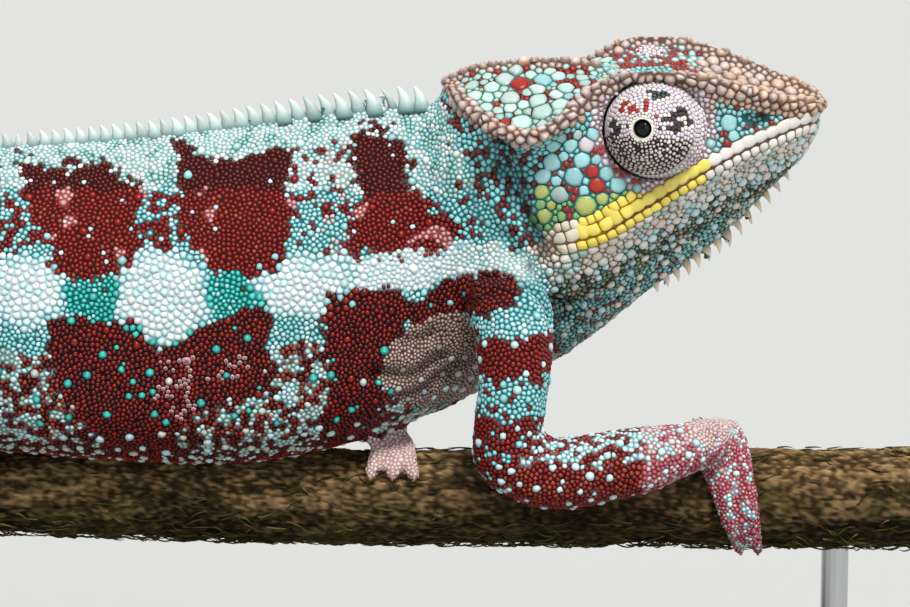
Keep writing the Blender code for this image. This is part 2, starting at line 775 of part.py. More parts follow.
def parted(body, cutters, names):
    """Cuts the body, separates what falls apart, and names each piece by the nearest given place."""
    collection = body.users_collection[0]
    for cutter in cutters:
        boolean(body, cutter, "DIFFERENCE")
    others = set(collection.objects)
    for made in bpy.context.selected_objects:
        made.select_set(False)
    body.select_set(True)
    bpy.context.view_layer.objects.active = body
    bpy.ops.mesh.separate(type="LOOSE")
    pieces = [body, *(o for o in collection.objects if o not in others)]
    found = {}
    for piece in pieces:
        middle = sum((v.co for v in piece.data.vertices), Vector()) / len(piece.data.vertices)
        name = min(names, key=lambda n: (placed(names[n]) - middle).length)
        if name in found:
            raise ValueError(f"two pieces lie nearest to {name}")
        piece.name = piece.data.name = name
        found[name] = piece
    missing = sorted(set(names) - set(found))
    if missing:
        raise ValueError(f"not parted from the rest: {missing}")
    return found


def direction_at(line, index):
    """The way the line runs at one of its stations."""
    a, b = line[max(index - 1, 0)], line[min(index + 1, len(line) - 1)]
    return [q - p for p, q in zip(a[:3], b[:3])]


def make_limb(name, grip, collection):
    """One limb, cut by the branch and parted into upper limb, lower limb and foot."""
    line, bend, wrist, foot = LIMBS[name]
    limb = one_skin(limb_shapes(name, 0.0, collection, 4, 6), name, LIMB_TRIANGLES)
    boolean(limb, copied(grip, collection), "DIFFERENCE")
    root, elbow, ankle = (Vector(line[k][:3]) for k in (0, bend, wrist))
    fold = (ankle - elbow).normalized() - (root - elbow).normalized()
    cutters = [
        disc(elbow, fold, line[bend][3] * 3.6, collection),
        disc(ankle, direction_at(line, wrist), line[wrist][3] * 1.45, collection),
    ]
    names = {
        f"{name}_upper": line[bend // 2][:3],
        f"{name}_lower": line[(bend + wrist) // 2][:3],
        foot: (line[-1][0], 0.0, 5.0),
    }
    return parted(limb, cutters, names)


def part_body(body, collection):
    """Parts the body into head, jaw, neck, trunk and tail lengths."""
    tail = tail_line()
    cutters = []
    names = {}
    ends = [*TAIL_CUTS, len(tail)]
    for number, (first, last) in enumerate(zip(ends, ends[1:]), 1):
        x, y, z, radius = tail[first]
        cutters.append(disc((x, y, z), direction_at(tail, first), radius * 1.5, collection))
        middle = [sum(s[k] for s in tail[first:last]) / (last - first) for k in range(3)]
        names[f"tail_{number}"] = tuple(middle)
    for place, normal in BODY_CUTS:
        cutters.append(disc(place, normal, 60.0, collection))
    cutters.append(mouth_ribbon(collection))
    names["trunk_rear"] = (-82.0, 0.0, 26.0)
    names["trunk_front"] = (-28.0, 0.0, 28.0)
    names["neck"] = (4.0, 0.0, 33.0)
    names["head"] = (22.0, 0.0, 49.0)
    names["lower_jaw"] = (28.0, 0.0, 36.0)
    return parted(body, cutters, names)


def make_perch(collection):
    perch = tube("perch", perch_line(0.0), collection, steps=1, sides=5)
    for x in rod_places():
        boolean(perch, rod_shape("socket", x, ROD_RADIUS + GAP, GAP, collection), "DIFFERENCE")
    return perch


def rod_places():
    return (BASE_MIDDLE - ROD_SPREAD, BASE_MIDDLE + ROD_SPREAD)


def rod_shape(name, x, radius, longer, collection):
    """An upright round rod from inside the base to inside the branch."""
    height, thick = branch_at(x)
    top = height - thick + SOCKET_DEPTH + longer
    bottom = BASE_SIZE[2] - SOCKET_DEPTH - longer - PERCH_HEIGHT
    shape = bmesh.new()
    bmesh.ops.create_cone(
        shape, cap_ends=True, segments=16, radius1=radius * MM, radius2=radius * MM, depth=(top - bottom) * MM
    )
    mesh = bpy.data.meshes.new(name)
    shape.to_mesh(mesh)
    shape.free()
    mesh.transform(Matrix.Translation(placed((x, 0.0, (top + bottom) / 2))))
    return linked(name, mesh, collection)


def make_stand(collection):
    """A flat base with softened edges, and two rods."""
    length, width, thick = BASE_SIZE
    shape = bmesh.new()
    bmesh.ops.create_cube(shape, size=1.0)
    mesh = bpy.data.meshes.new("stand_base")
    shape.to_mesh(mesh)
    shape.free()
    scale = Matrix.Diagonal((length * MM, width * MM, thick * MM, 1))
    mesh.transform(Matrix.Translation((0, 0, thick / 2 * MM)) @ scale)
    base = linked("stand_base", mesh, collection)
    for name, how_wide, segments, upright in (("corners", 7.0, 2, True), ("edge", 1.0, 1, False)):
        bevel = base.modifiers.new(name, "BEVEL")
        bevel.width = how_wide * MM
        bevel.segments = segments
        bevel.limit_method = "WEIGHT" if upright else "ANGLE"
        if upright:
            weights = base.data.attributes.new("bevel_weight_edge", "FLOAT", "EDGE")
            for edge in base.data.edges:
                a, b = (base.data.vertices[v].co for v in edge.vertices)
                weights.data[edge.index].value = 1.0 if abs(a.z - b.z) > 1e-6 else 0.0
        bake_modifiers(base)
    for x in rod_places():
        boolean(base, rod_shape("socket", x, ROD_RADIUS + GAP, GAP, collection), "DIFFERENCE")
    rods = [
        rod_shape(name, x, ROD_RADIUS, 0.0, collection)
        for name, x in zip(("stand_rod_rear", "stand_rod_front"), rod_places())
    ]
    return [base, *rods]


def colour_of(name):
    """The key in COLOURS for a node."""
    starts = {
        "eye_turret": "eye",
        "eyeball": "eyeball",
        "claw": "claw",
        "perch": "bark",
        "stand_base": "base",
        "stand_rod": "metal",
        "hand": "foot",
        "foot": "foot",
        "head": "head",
        "lower_jaw": "head",
    }
    return next((key for start, key in starts.items() if name.startswith(start)), "skin")


def give_material(made):
    red, green, blue, roughness, metallic = COLOURS[colour_of(made.name)]
    material = bpy.data.materials.new(made.name)
    material.use_nodes = True
    shader = material.node_tree.nodes["Principled BSDF"]
    shader.inputs["Base Color"].default_value = (red, green, blue, 1.0)
    shader.inputs["Roughness"].default_value = roughness
    shader.inputs["Metallic"].default_value = metallic
    made.data.materials.clear()
    made.data.materials.append(material)


def clear_scene():
    for made in list(bpy.data.objects):
        bpy.data.objects.remove(made)


def build():
    clear_scene()
    collection = bpy.data.collections.new("panther_chameleon")
    bpy.context.scene.collection.children.link(collection)
    grip = tube("grip", perch_line(GAP), collection, steps=1, sides=5)
    body = make_body(collection)
    for name in LIMBS:
        socket = joined(limb_shapes(name, GAP + CLEARANCE, collection, 1, 4), "socket")
        boolean(body, socket, "DIFFERENCE", self_overlap=True)
        make_limb(name, grip, collection)
    boolean(body, grip, "DIFFERENCE")
    for side in ("right", "left"):
        make_eye(side, collection, body)
    add_spines(body, collection)
    part_body(body, collection)
    make_claws(collection)
    make_perch(collection)
    make_stand(collection)
    for made in collection.objects:
        give_material(made)


build()
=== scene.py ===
"""Looks of the panther chameleon: skin, scales, spines, eyes, claws, bark, stand, light and camera.

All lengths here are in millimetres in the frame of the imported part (the animal faces +X, +Z is up),
and MM turns them into metres when a mesh is made. One skin replaces all flesh solids. Every scale is
a small solid dome on it, in one of the coat pieces, and skin and scales share their markings.
"""

import json
import math
from collections import namedtuple

import bmesh
import bpy
import numpy as np
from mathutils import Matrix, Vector, noise
from mathutils.bvhtree import BVHTree
from mathutils.kdtree import KDTree

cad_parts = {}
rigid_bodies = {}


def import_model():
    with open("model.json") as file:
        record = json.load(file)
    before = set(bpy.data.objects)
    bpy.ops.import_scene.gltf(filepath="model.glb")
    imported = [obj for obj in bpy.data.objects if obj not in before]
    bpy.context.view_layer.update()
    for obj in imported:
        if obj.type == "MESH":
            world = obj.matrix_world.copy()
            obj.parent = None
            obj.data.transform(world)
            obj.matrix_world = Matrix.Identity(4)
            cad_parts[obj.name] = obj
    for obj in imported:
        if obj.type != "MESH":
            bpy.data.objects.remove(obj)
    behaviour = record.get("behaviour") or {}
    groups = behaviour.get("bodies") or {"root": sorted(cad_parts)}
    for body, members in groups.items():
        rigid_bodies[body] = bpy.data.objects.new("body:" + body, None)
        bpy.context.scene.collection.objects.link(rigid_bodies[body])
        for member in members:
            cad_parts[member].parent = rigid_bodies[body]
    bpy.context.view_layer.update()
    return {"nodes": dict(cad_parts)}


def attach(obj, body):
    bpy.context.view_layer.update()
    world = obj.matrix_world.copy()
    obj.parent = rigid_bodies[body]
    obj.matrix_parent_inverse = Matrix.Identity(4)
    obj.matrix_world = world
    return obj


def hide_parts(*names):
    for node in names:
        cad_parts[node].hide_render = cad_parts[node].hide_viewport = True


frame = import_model()

MM = 0.001
SEED = 7

# The camera stands on the animal's right, a little above it.
CAMERA_TARGET = (34.0, 0.0, 75.7)
CAMERA_DISTANCE = 460.0
CAMERA_ELEVATION = 10.0
CAMERA_LENS, CAMERA_SENSOR = 140.0, 36.0

# Skin.
GROW = 0.22  # closes the thin gaps between the flesh solids
VOXEL = 0.52
COAT_DEPTH = 0.26  # how far the skin lies inside the solids
BODY = ["head", "lower_jaw", "neck", "trunk_front", "trunk_rear"]
TAIL = [f"tail_{i}" for i in range(1, 6)]
SIDES = {"right": -1, "left": 1}  # with the sign of Y
LIMB_ENDS = {"arm": "hand", "leg": "foot"}
LIMBS = [f"{limb}_{side}_{part}" for limb in LIMB_ENDS for side in SIDES for part in ("upper", "lower")]
FEET = [f"{end}_{side}" for end in LIMB_ENDS.values() for side in SIDES]
FLESH = BODY + TAIL + LIMBS + FEET
SMOOTH_PASSES = {
    "head": 6, "lower_jaw": 10, "neck": 18, "trunk": 38, "tail": 18,
    "arm": 16, "leg": 18, "hand": 3, "foot": 3,
}
SMOOTH_SHARE = 0.5  # how far one pass moves a point to the mean of its neighbours
BLEND_PASSES = 8  # how softly the passes change from solid to solid

# Head lines before the head's roll, on the left side: place along X, to the side, height.
HEAD_ROLL = math.radians(10.0)
ROLL_FROM, ROLL_TO = 26.0, 39.0
ROLL_AXIS_Z = 95.0
CREST = [
    (81.6, 0.0, 102.2), (80.0, 3.0, 102.6), (77.0, 4.7, 103.5), (73.0, 6.0, 104.8),
    (69.0, 7.1, 106.2), (65.0, 7.9, 107.4), (61.0, 8.3, 108.0), (57.0, 8.1, 108.0),
    (53.8, 7.0, 106.8), (51.4, 7.6, 105.4), (49.4, 9.2, 104.2), (47.3, 11.4, 103.0),
    (44.5, 12.7, 101.8), (41.5, 12.1, 101.4), (38.6, 10.4, 102.2), (36.2, 8.0, 103.3),
    (34.2, 4.6, 104.2), (33.1, 1.4, 104.7),
]
PARIETAL = [
    (33.0, 0.0, 104.8), (36.0, 0.0, 106.4), (40.0, 0.0, 107.2), (47.0, 0.0, 107.6),
    (52.0, 0.0, 107.2),
]
MOUTH = [
    (47.3, 12.0, 86.8), (52.3, 12.2, 88.3), (57.4, 11.3, 91.2), (63.7, 9.8, 94.8),
    (70.2, 7.8, 98.0), (76.7, 4.9, 100.1), (79.4, 2.4, 100.5), (80.3, 0.0, 100.5),
]
YELLOW_LIP_TO = 66.0  # the lips are yellow from their corner to here, then white
CREAM_LIP_TO = 49.3  # at the corner itself they are cream
NOSTRIL = [(71.6, 7.0, 102.2), (72.9, 6.6, 101.7)]
# Big plates of cheek and snout: place along X, height, radius, colour.
PLATES = [
    (46.2, 99.2, 1.25, "sky"), (49.0, 97.3, 1.25, "sky"), (50.0, 99.5, 1.1, "sky"),
    (45.1, 97.2, 0.95, "sky"), (47.2, 95.0, 1.15, "pearl"), (50.5, 93.6, 1.55, "lime"),
    (51.3, 98.0, 0.95, "brick"), (51.9, 96.2, 1.15, "brick"), (53.1, 94.5, 1.1, "brick"),
    (54.9, 93.2, 1.3, "leaf"), (56.6, 93.7, 0.8, "leaf"), (52.6, 91.2, 1.3, "lime"),
    (48.3, 91.6, 1.05, "leaf"), (46.6, 90.1, 0.9, "leaf"), (49.6, 89.4, 0.8, "leaf"),
    (48.4, 89.0, 0.7, "leaf"), (48.6, 101.3, 0.95, "sky"), (46.4, 101.3, 0.9, "sky"),
    (50.6, 101.4, 1.1, "lilac"), (51.6, 99.9, 1.05, "lilac"), (49.2, 95.5, 0.5, "brick"),
    (48.0, 93.1, 0.5, "brick"), (48.0, 98.9, 0.45, "brick"), (68.6, 104.1, 1.15, "sky"),
    (71.6, 103.3, 0.8, "sky"), (70.1, 100.8, 0.85, "pearl"), (69.2, 102.3, 0.7, "sky"),
    (67.6, 100.4, 0.5, "brick"), (68.4, 101.4, 0.5, "brick"), (67.0, 99.4, 0.5, "brick"),
    (66.0, 98.6, 0.5, "brick"), (64.9, 97.8, 0.5, "brick"), (66.3, 101.4, 0.6, "sky"),
    (73.6, 102.9, 0.6, "pearl"), (74.6, 101.8, 0.6, "pearl"),
]

# Colours of a scale at its rim, on its slope and on its top. In most colours the slope holds the scale's own
# colour, the darker rim is painted shade in the grooves between scales and the lighter top a painted
# highlight; in shed the pale rim and dark top are the skin's own lace and red, and in bead the pale top is a
# real bead as well as a painted highlight.
PALETTE = {
    "turquoise": ((26, 100, 104), (112, 194, 198), (196, 238, 242)),
    "ice": ((96, 156, 162), (188, 226, 230), (238, 250, 251)),
    "frost": ((126, 160, 158), (198, 222, 220), (240, 250, 249)),
    "white": ((168, 200, 204), (228, 238, 240), (253, 251, 248)),
    "teal": ((0, 84, 80), (20, 158, 148), (92, 222, 214)),
    "maroon": ((42, 2, 1), (112, 8, 5), (160, 32, 24)),
    "deep": ((26, 0, 0), (76, 4, 3), (116, 24, 17)),
    "rust": ((50, 8, 4), (132, 34, 22), (180, 82, 64)),
    "pink": ((140, 66, 70), (194, 118, 120), (234, 190, 188)),
    "blush": ((150, 112, 112), (204, 176, 176), (240, 226, 224)),
    "axilla": ((80, 56, 50), (156, 128, 116), (226, 206, 192)),
    "sage": ((72, 88, 80), (150, 174, 164), (208, 228, 220)),
    "mist": ((64, 112, 108), (138, 192, 188), (198, 232, 230)),
    "bone": ((96, 90, 80), (192, 196, 184), (234, 238, 230)),
    "sky": ((40, 90, 92), (136, 200, 204), (186, 226, 230)),
    "pearl": ((70, 130, 130), (176, 214, 212), (226, 230, 222)),
    "lilac": ((138, 116, 128), (206, 192, 202), (252, 246, 250)),
    "shed": ((246, 222, 222), (216, 172, 172), (112, 22, 20)),
    "mint": ((70, 104, 92), (162, 200, 190), (212, 234, 228)),
    "brick": ((74, 10, 8), (158, 36, 32), (184, 58, 52)),
    "garnet": ((36, 6, 4), (106, 28, 22), (150, 58, 48)),
    "pine": ((8, 14, 12), (22, 40, 34), (70, 104, 92)),
    "bead": ((30, 14, 12), (132, 106, 98), (255, 252, 246)),
    "lime": ((50, 104, 66), (130, 184, 116), (246, 220, 122)),
    "leaf": ((36, 96, 66), (120, 184, 122), (164, 206, 128)),
    "yellow": ((150, 110, 20), (253, 224, 78), (255, 243, 140)),
    "cream": ((122, 98, 74), (238, 222, 196), (252, 244, 232)),
    "ivory": ((104, 92, 78), (232, 226, 214), (252, 250, 246)),
    "crest": ((92, 72, 64), (168, 144, 134), (226, 210, 202)),
    "amber": ((104, 76, 58), (186, 148, 124), (236, 214, 198)),
    "throat": ((14, 40, 36), (76, 118, 108), (150, 190, 180)),
    "olive": ((24, 36, 22), (96, 106, 72), (182, 184, 142)),
    "dusk": ((14, 10, 12), (40, 32, 32), (88, 76, 76)),
    "magenta": ((120, 40, 54), (172, 74, 88), (212, 132, 142)),
    "palm": ((170, 134, 130), (220, 192, 188), (238, 220, 216)),
}
ID = {name: k for k, name in enumerate(PALETTE)}

# Markings of the flank as outlines in (X, Z), each point in turn, and how ragged their edge is.
UPPER_BARS = [
    ([(-22, 95), (-17, 94), (-11, 95), (-6, 92), (-6, 83), (-12, 81), (-17, 82), (-19, 87)], 1.4),
    ([(-2, 97), (5, 95), (13, 97), (12.8, 90), (12.4, 82.5), (8, 81), (3, 82.5), (-1, 88)], 0.9),
    ([(23, 99), (28, 98), (28, 92), (36, 86), (31, 84), (19.5, 84), (22, 92), (20, 97)], 1.6),
]
LOWER_BARS = [
    ([(-18, 76.5), (-6, 76), (-3, 72), (1.5, 75), (10.5, 78),
      (10, 66), (0.5, 64), (-4, 56), (-10, 56), (-16, 67)], 0.7),
    ([(17, 78.5), (25, 79.5), (30.5, 77), (27, 73), (25, 67.5), (22, 52), (15, 52), (18, 68)], 0.8),
    ([(29, 77.5), (33, 80.3), (39.5, 81.8), (42.4, 80.2), (41.5, 78), (37, 76), (31, 73.4), (28, 75)], 0.5),
]
OVALS = [(-20.5, 79.5, 5.6, 4.6), (-3.0, 78.8, 6.3, 6.0), (15.5, 80.2, 7.5, 4.2)]
TEAL_SPOTS = [(-12.0, 79.2, 3.6, 4.0), (6.3, 79.2, 3.6, 4.0)]
REPEAT = 40.0  # the flank's pattern comes again this far to the rear
# Height of back and belly along X, from the rear forward, and the middle span of the pattern.
BACK_LINE = [(-80.0, 77.5), (-64.0, 84.5), (-46.0, 92.2), (-24.0, 96.3), (0.0, 98.0), (30.0, 101.0)]
BELLY_LINE = [(-80.0, 68.5), (-64.0, 65.2), (-46.0, 59.2), (-24.0, 56.0), (0.0, 54.2), (30.0, 60.0)]

rng = np.random.default_rng(SEED)


# ---------------------------------------------------------------- small helpers


def linear(rgb):
    """A colour of 0 to 255 a channel as linear light."""
    c = np.asarray(rgb, float) / 255.0
    return np.where(c <= 0.04045, c / 12.92, ((c + 0.055) / 1.055) ** 2.4)


# Linear light of each colour's rim, slope and top, with the painted shade of the rim and the painted
# highlight of the top.
SHADES = np.array([linear(shades) for shades in PALETTE.values()])


def unit(v):
    return v / np.maximum(np.linalg.norm(v, axis=-1, keepdims=True), 1e-12)


def smooth_step(value, low, high):
    t = np.clip((np.asarray(value, float) - low) / (high - low), 0, 1)
    return t * t * (3 - 2 * t)


def profile(x, line):
    """The second value of a line's points at each x, where x is their first."""
    return np.interp(x, *np.array(line).T)


def span(value, low, high):
    """Which values lie between two limits."""
    return (value > low) & (value < high)


def wobble(points, size, seed):
    """Smooth noise from about -1 to 1 at each point."""
    shift = Vector((seed * 17.3, seed * 5.1, seed * -9.7))
    return np.array([noise.noise(Vector(p) / size + shift) for p in points])


def rolled(points, back=1.0):
    """Points of the head turned with its roll, or turned back with back=-1."""
    p = np.atleast_2d(np.asarray(points, float)).copy()
    angle = back * HEAD_ROLL * smooth_step(p[:, 0], ROLL_FROM, ROLL_TO)
    y, up = p[:, 1].copy(), p[:, 2] - ROLL_AXIS_Z
    p[:, 1] = y * np.cos(angle) - up * np.sin(angle)
    p[:, 2] = ROLL_AXIS_Z + y * np.sin(angle) + up * np.cos(angle)
    return p


def curve_through(points, step):
    """Points about a step apart on a smooth curve through the given ones."""
    p = np.asarray(points, float)
    t = np.linspace(0, 1, 12, endpoint=False)[:, None]
    fine = []
    for i in range(len(p) - 1):
        a, b, c, d = (p[min(max(i + k, 0), len(p) - 1)] for k in (-1, 0, 1, 2))
        bend = (2 * a - 5 * b + 4 * c - d) * t**2
        twist = (3 * b - a - 3 * c + d) * t**3
        fine.append(0.5 * (2 * b + (c - a) * t + bend + twist))
    fine = np.concatenate([*fine, p[-1:]])
    run = np.concatenate([[0], np.cumsum(np.linalg.norm(np.diff(fine, axis=0), axis=1))])
    at = np.linspace(0, run[-1], max(2, round(run[-1] / step) + 1))
    return np.stack([np.interp(at, run, fine[:, k]) for k in range(p.shape[1])], axis=1)


def both_sides(points):
    """Head lines of the left side with their mirror image, both rolled with the head."""
    p = np.asarray(points, float)
    return [rolled(p), rolled(p * (1, -1, 1))]


def line_distance(points, line):
    """Distance from each point to a polyline."""
    best = np.full(len(points), np.inf)
    for a, b in zip(line[:-1], line[1:]):
        ab = b - a
        t = np.clip(((points - a) @ ab) / max(ab @ ab, 1e-9), 0, 1)
        best = np.minimum(best, np.linalg.norm(points - a - t[:, None] * ab, axis=1))
    return best


def outline_distance(x, z, outline):
    """Signed distance to a closed outline, negative inside."""
    corners = np.array([*outline, outline[0]], float)
    inside = np.zeros(len(x), bool)
    for a, b in zip(corners[:-1], corners[1:]):
        with np.errstate(divide="ignore", invalid="ignore"):
            where = (b[0] - a[0]) * (z - a[1]) / (b[1] - a[1]) + a[0]
        inside ^= ((a[1] > z) != (b[1] > z)) & (x < where)
    best = line_distance(np.stack([x, z], axis=1), corners)
    return np.where(inside, -best, best)


def oval_distance(x, z, oval):
    """About the distance to an oval's edge, negative inside; it has a middle, half a width, half a height."""
    cx, cz, rx, rz = oval
    return (np.hypot((x - cx) / rx, (z - cz) / rz) - 1) * min(rx, rz)


# ---------------------------------------------------------------- meshes


def search_tree(points, faces):
    return BVHTree.FromPolygons(points.tolist(), faces.tolist())


def circle(sides):
    """Evenly spread angles of a ring of points."""
    return 2 * math.pi * np.arange(sides) / sides


def spokes(angle, u, v):
    """For each angle the way that turns from u over v."""
    return np.cos(angle)[..., None] * u + np.sin(angle)[..., None] * v


def ring_faces(rings, sides, first=0):
    """Triangles between rings of points that follow each other."""
    k = np.arange(sides)
    start = first + sides * np.arange(rings - 1)[:, None]
    a, b = start + k, start + (k + 1) % sides
    halves = [np.stack([a, b, b + sides], 2), np.stack([a, b + sides, a + sides], 2)]
    return np.stack(halves, 1).reshape(-1, 3)


def fan(first, sides, tip):
    """Triangles from the ring that starts at point first to one point."""
    k = np.arange(sides)
    return np.stack([first + k, first + (k + 1) % sides, np.full(sides, tip)], 1)


def joined(parts):
    """Points and faces of many parts as one, from the points and faces of each."""
    starts = np.cumsum([0] + [len(points) for points, _ in parts])
    faces = [faces + start for (_, faces), start in zip(parts, starts)]
    return np.concatenate([points for points, _ in parts]), np.concatenate(faces)


def mesh_values(items, key, width, kind=np.float32):
    """A value of all vertices, corners or the like as one array with rows of this width."""
    flat = np.empty(len(items) * width, kind)
    items.foreach_get(key, flat)
    return flat.reshape(-1, width)


def new_mesh(name, points, faces, smooth=True):
    """An object from points in millimetres and equal-sided faces given as one array."""
    mesh = bpy.data.meshes.new(name)
    faces = np.asarray(faces, np.int32)
    mesh.vertices.add(len(points))
    mesh.vertices.foreach_set("co", (np.asarray(points, np.float32) * MM).ravel())
    mesh.loops.add(faces.size)
    mesh.loops.foreach_set("vertex_index", faces.ravel())
    mesh.polygons.add(len(faces))
    mesh.polygons.foreach_set("loop_start", np.arange(0, faces.size, faces.shape[1], dtype=np.int32))
    mesh.update(calc_edges=True)
    mesh.polygons.foreach_set("use_smooth", np.full(len(faces), smooth))
    made = bpy.data.objects.new(name, mesh)
    bpy.context.scene.collection.objects.link(made)
    return made


def make_piece(name, points, faces, material, slot, *nodes, colours=None):
    """A piece of the looks, with a linear colour for each vertex if any are given."""
    made = new_mesh(name, points, faces)
    if colours is not None:
        attribute = made.data.color_attributes.new("Colour", "FLOAT_COLOR", "POINT")
        rgba = np.ones((len(colours), 4), np.float32)
        rgba[:, :3] = colours
        attribute.data.foreach_set("color", rgba.ravel())
    made.data.materials.append(material)
    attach(made, "root")
    if nodes:
        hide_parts(*nodes)
    return made


# ---------------------------------------------------------------- materials


def new_material(name, roughness, **inputs):
    material = bpy.data.materials.new(name)
    material.use_nodes = True
    shader = material.node_tree.nodes["Principled BSDF"]
    shader.inputs["Roughness"].default_value = roughness
    for key, value in inputs.items():
        shader.inputs[key.replace("_", " ")].default_value = value
    return material, material.node_tree, shader


def add_node(tree, kind, **settings):
    node = tree.nodes.new(kind)
    for key, value in settings.items():
        if key in node.inputs:
            node.inputs[key].default_value = value
        else:
            setattr(node, key, value)
    return node


def wire(tree, *links):
    """Each link is a node, its output, the next node and its input."""
    for source, output, target, entry in links:
        tree.links.new(source.outputs[output], target.inputs[entry])


def noise_node(tree, stretch=None, **settings):
    """Noise on the object's own coordinates, which may be stretched."""
    node = add_node(tree, "ShaderNodeTexNoise", **settings)
    source, output = add_node(tree, "ShaderNodeTexCoord"), "Object"
    if stretch:
        mapping = add_node(tree, "ShaderNodeMapping", Scale=stretch)
        wire(tree, (source, output, mapping, "Vector"))
        source, output = mapping, "Vector"
    wire(tree, (source, output, node, "Vector"))
    return node


def ramp_node(tree, *stops):
    """A ramp between two colours, each given with its position."""
    ramp = add_node(tree, "ShaderNodeValToRGB")
    for element, (position, colour) in zip(ramp.color_ramp.elements, stops):
        element.color, element.position = (*colour, 1), position
    return ramp


def painted_material(name, roughness, mottle=0.25, grain=900.0, bump=0.4, **inputs):
    """Takes its colour from the mesh, mottled finely, with a fine grain in relief."""
    material, tree, shader = new_material(name, roughness, **inputs)
    colour = add_node(tree, "ShaderNodeVertexColor", layer_name="Colour")
    speckle = noise_node(tree, Scale=grain, Detail=3.0)
    shade = add_node(tree, "ShaderNodeMapRange", **{"To Min": 1.0 - mottle, "To Max": 1.0 + mottle})
    mix = add_node(tree, "ShaderNodeVectorMath", operation="MULTIPLY")
    relief = add_node(tree, "ShaderNodeBump", Strength=bump, Distance=0.00005)
    wire(
        tree,
        (speckle, "Fac", shade, "Value"),
        (colour, "Color", mix, 0),
        (shade, "Result", mix, 1),
        (mix, "Vector", shader, "Base Color"),
        (speckle, "Fac", relief, "Height"),
        (relief, "Normal", shader, "Normal"),
    )
    return material


# ---------------------------------------------------------------- the solids of the frame


Solid = namedtuple("Solid", "points normals faces edges")


def welded(node):
    """A CAD node in millimetres as triangles with merged points, and the edges that leave each point."""
    shape = bmesh.new()
    shape.from_mesh(frame["nodes"][node].data)
    bmesh.ops.remove_doubles(shape, verts=shape.verts, dist=1e-6)
    bmesh.ops.triangulate(shape, faces=shape.faces)
    shape.normal_update()
    shape.verts.index_update()
    points = np.array([v.co for v in shape.verts]) / MM
    normals = np.array([v.normal for v in shape.verts])
    faces = np.array([[v.index for v in f.verts] for f in shape.faces])
    edges = [np.array([(e.other_vert(v).co - v.co) / MM for e in v.link_edges]) for v in shape.verts]
    shape.free()
    return Solid(points, normals, faces, edges)


def node_points(node):
    return np.array([v.co for v in frame["nodes"][node].data.vertices]) / MM


SOLIDS = {node: welded(node) for node in FLESH}


def solid_index():
    """A search tree of all flesh solids, with the number in FLESH of the solid of each face."""
    points, faces = joined([(solid.points, solid.faces) for solid in SOLIDS.values()])
    return search_tree(points, faces), np.repeat(range(len(FLESH)), [len(s.faces) for s in SOLIDS.values()])


SOLID_TREE, SOLID_OWNER = solid_index()


def owners(points):
    """The number in FLESH of the solid nearest to each point."""
    return SOLID_OWNER[[SOLID_TREE.find_nearest(p)[2] for p in points.tolist()]]


def in_nodes(owner, *starts, ends=""):
    """Which owners have a name that begins, and ends, in such a way."""
    return np.array([name.startswith(starts) and name.endswith(ends) for name in FLESH])[owner]


class Eye:
    """Where an eye turret of the frame stands: its middle, radius and axes."""

    def __init__(self, side):
        self.side = side
        turret = node_points(f"eye_turret_{side}")
        ball = node_points(f"eyeball_{side}").mean(0)
        self.axis = unit(ball - (turret.min(0) + turret.max(0)) / 2)
        for _ in range(3):
            along = turret @ self.axis
            back = turret[along < along.min() + 0.05].mean(0)
            self.axis = unit(ball - back)
        across = turret - back
        across -= np.outer(across @ self.axis, self.axis)
        self.radius = np.linalg.norm(across, axis=1).max()
        self.middle = back + self.axis * self.radius
        self.up = unit(np.array([0, 0, 1.0]) - self.axis[2] * self.axis)
        forward = np.cross(self.up, self.axis)
        self.forward = forward if forward[0] > 0 else -forward

    def distance(self, p):
        return np.linalg.norm(p - self.middle, axis=1)


EYES = [Eye("right"), Eye("left")]


# ---------------------------------------------------------------- skin


def claw_axis(node):
    """Root and tip of a claw of the frame, and the way it points."""
    points, _, _, edges = welded(node)
    sharp = [np.linalg.norm(unit(run).mean(0)) for run in edges]
    tip = points[np.argmax(sharp)]
    away = np.linalg.norm(points - tip, axis=1)
    root = points[np.argsort(-away)[:7]].mean(0)
    return root, tip, unit(tip - root)


CLAWS = {node: claw_axis(node) for node in sorted(n for n in frame["nodes"] if n.startswith("claw_"))}
TOE_RADIUS = 1.3
TOE_BACK = 1.6  # the rear half of a toe end lies this far behind the claw's root
TOE_FRONT = 0.5  # and its front half this far


def toe_pad(root, out):
    """A rounded toe end behind a claw: points and triangles."""
    sides, levels = 10, 7
    u = unit(np.cross(out, [0.3, 1.0, 0.2]))
    ring = spokes(circle(sides), u, np.cross(out, u))
    points = []
    for k in range(levels):
        lean = math.pi * (k + 0.5) / levels
        along = -math.cos(lean) * TOE_RADIUS - (TOE_BACK if k < levels // 2 else TOE_FRONT)
        points.append(root + out * along + math.sin(lean) * TOE_RADIUS * ring)
    points += [[root - out * (TOE_RADIUS + TOE_BACK)], [root + out * (TOE_RADIUS - TOE_FRONT)]]
    back, front = levels * sides, levels * sides + 1
    faces = [ring_faces(levels, sides), fan(0, sides, back)[:, [1, 0, 2]], fan(back - sides, sides, front)]
    return np.concatenate(points), np.concatenate(faces)


def voxel_skin():
    """One closed surface round all flesh solids: points and quads."""
    parts = [(solid.points + solid.normals * GROW, solid.faces) for solid in SOLIDS.values()]
    parts += [toe_pad(root, out) for root, _, out in CLAWS.values()]
    made = new_mesh("skin_source", *joined(parts))
    remesh = made.modifiers.new("one skin", "REMESH")
    remesh.mode = "VOXEL"
    remesh.voxel_size = VOXEL * MM
    bpy.context.view_layer.update()
    mesh = bpy.data.meshes.new_from_object(made.evaluated_get(bpy.context.evaluated_depsgraph_get()))
    bpy.data.objects.remove(made)
    points = mesh_values(mesh.vertices, "co", 3).astype(float) / MM
    return largest_island(points, mesh_values(mesh.loops, "vertex_index", 1, np.int32).reshape(-1, 4))


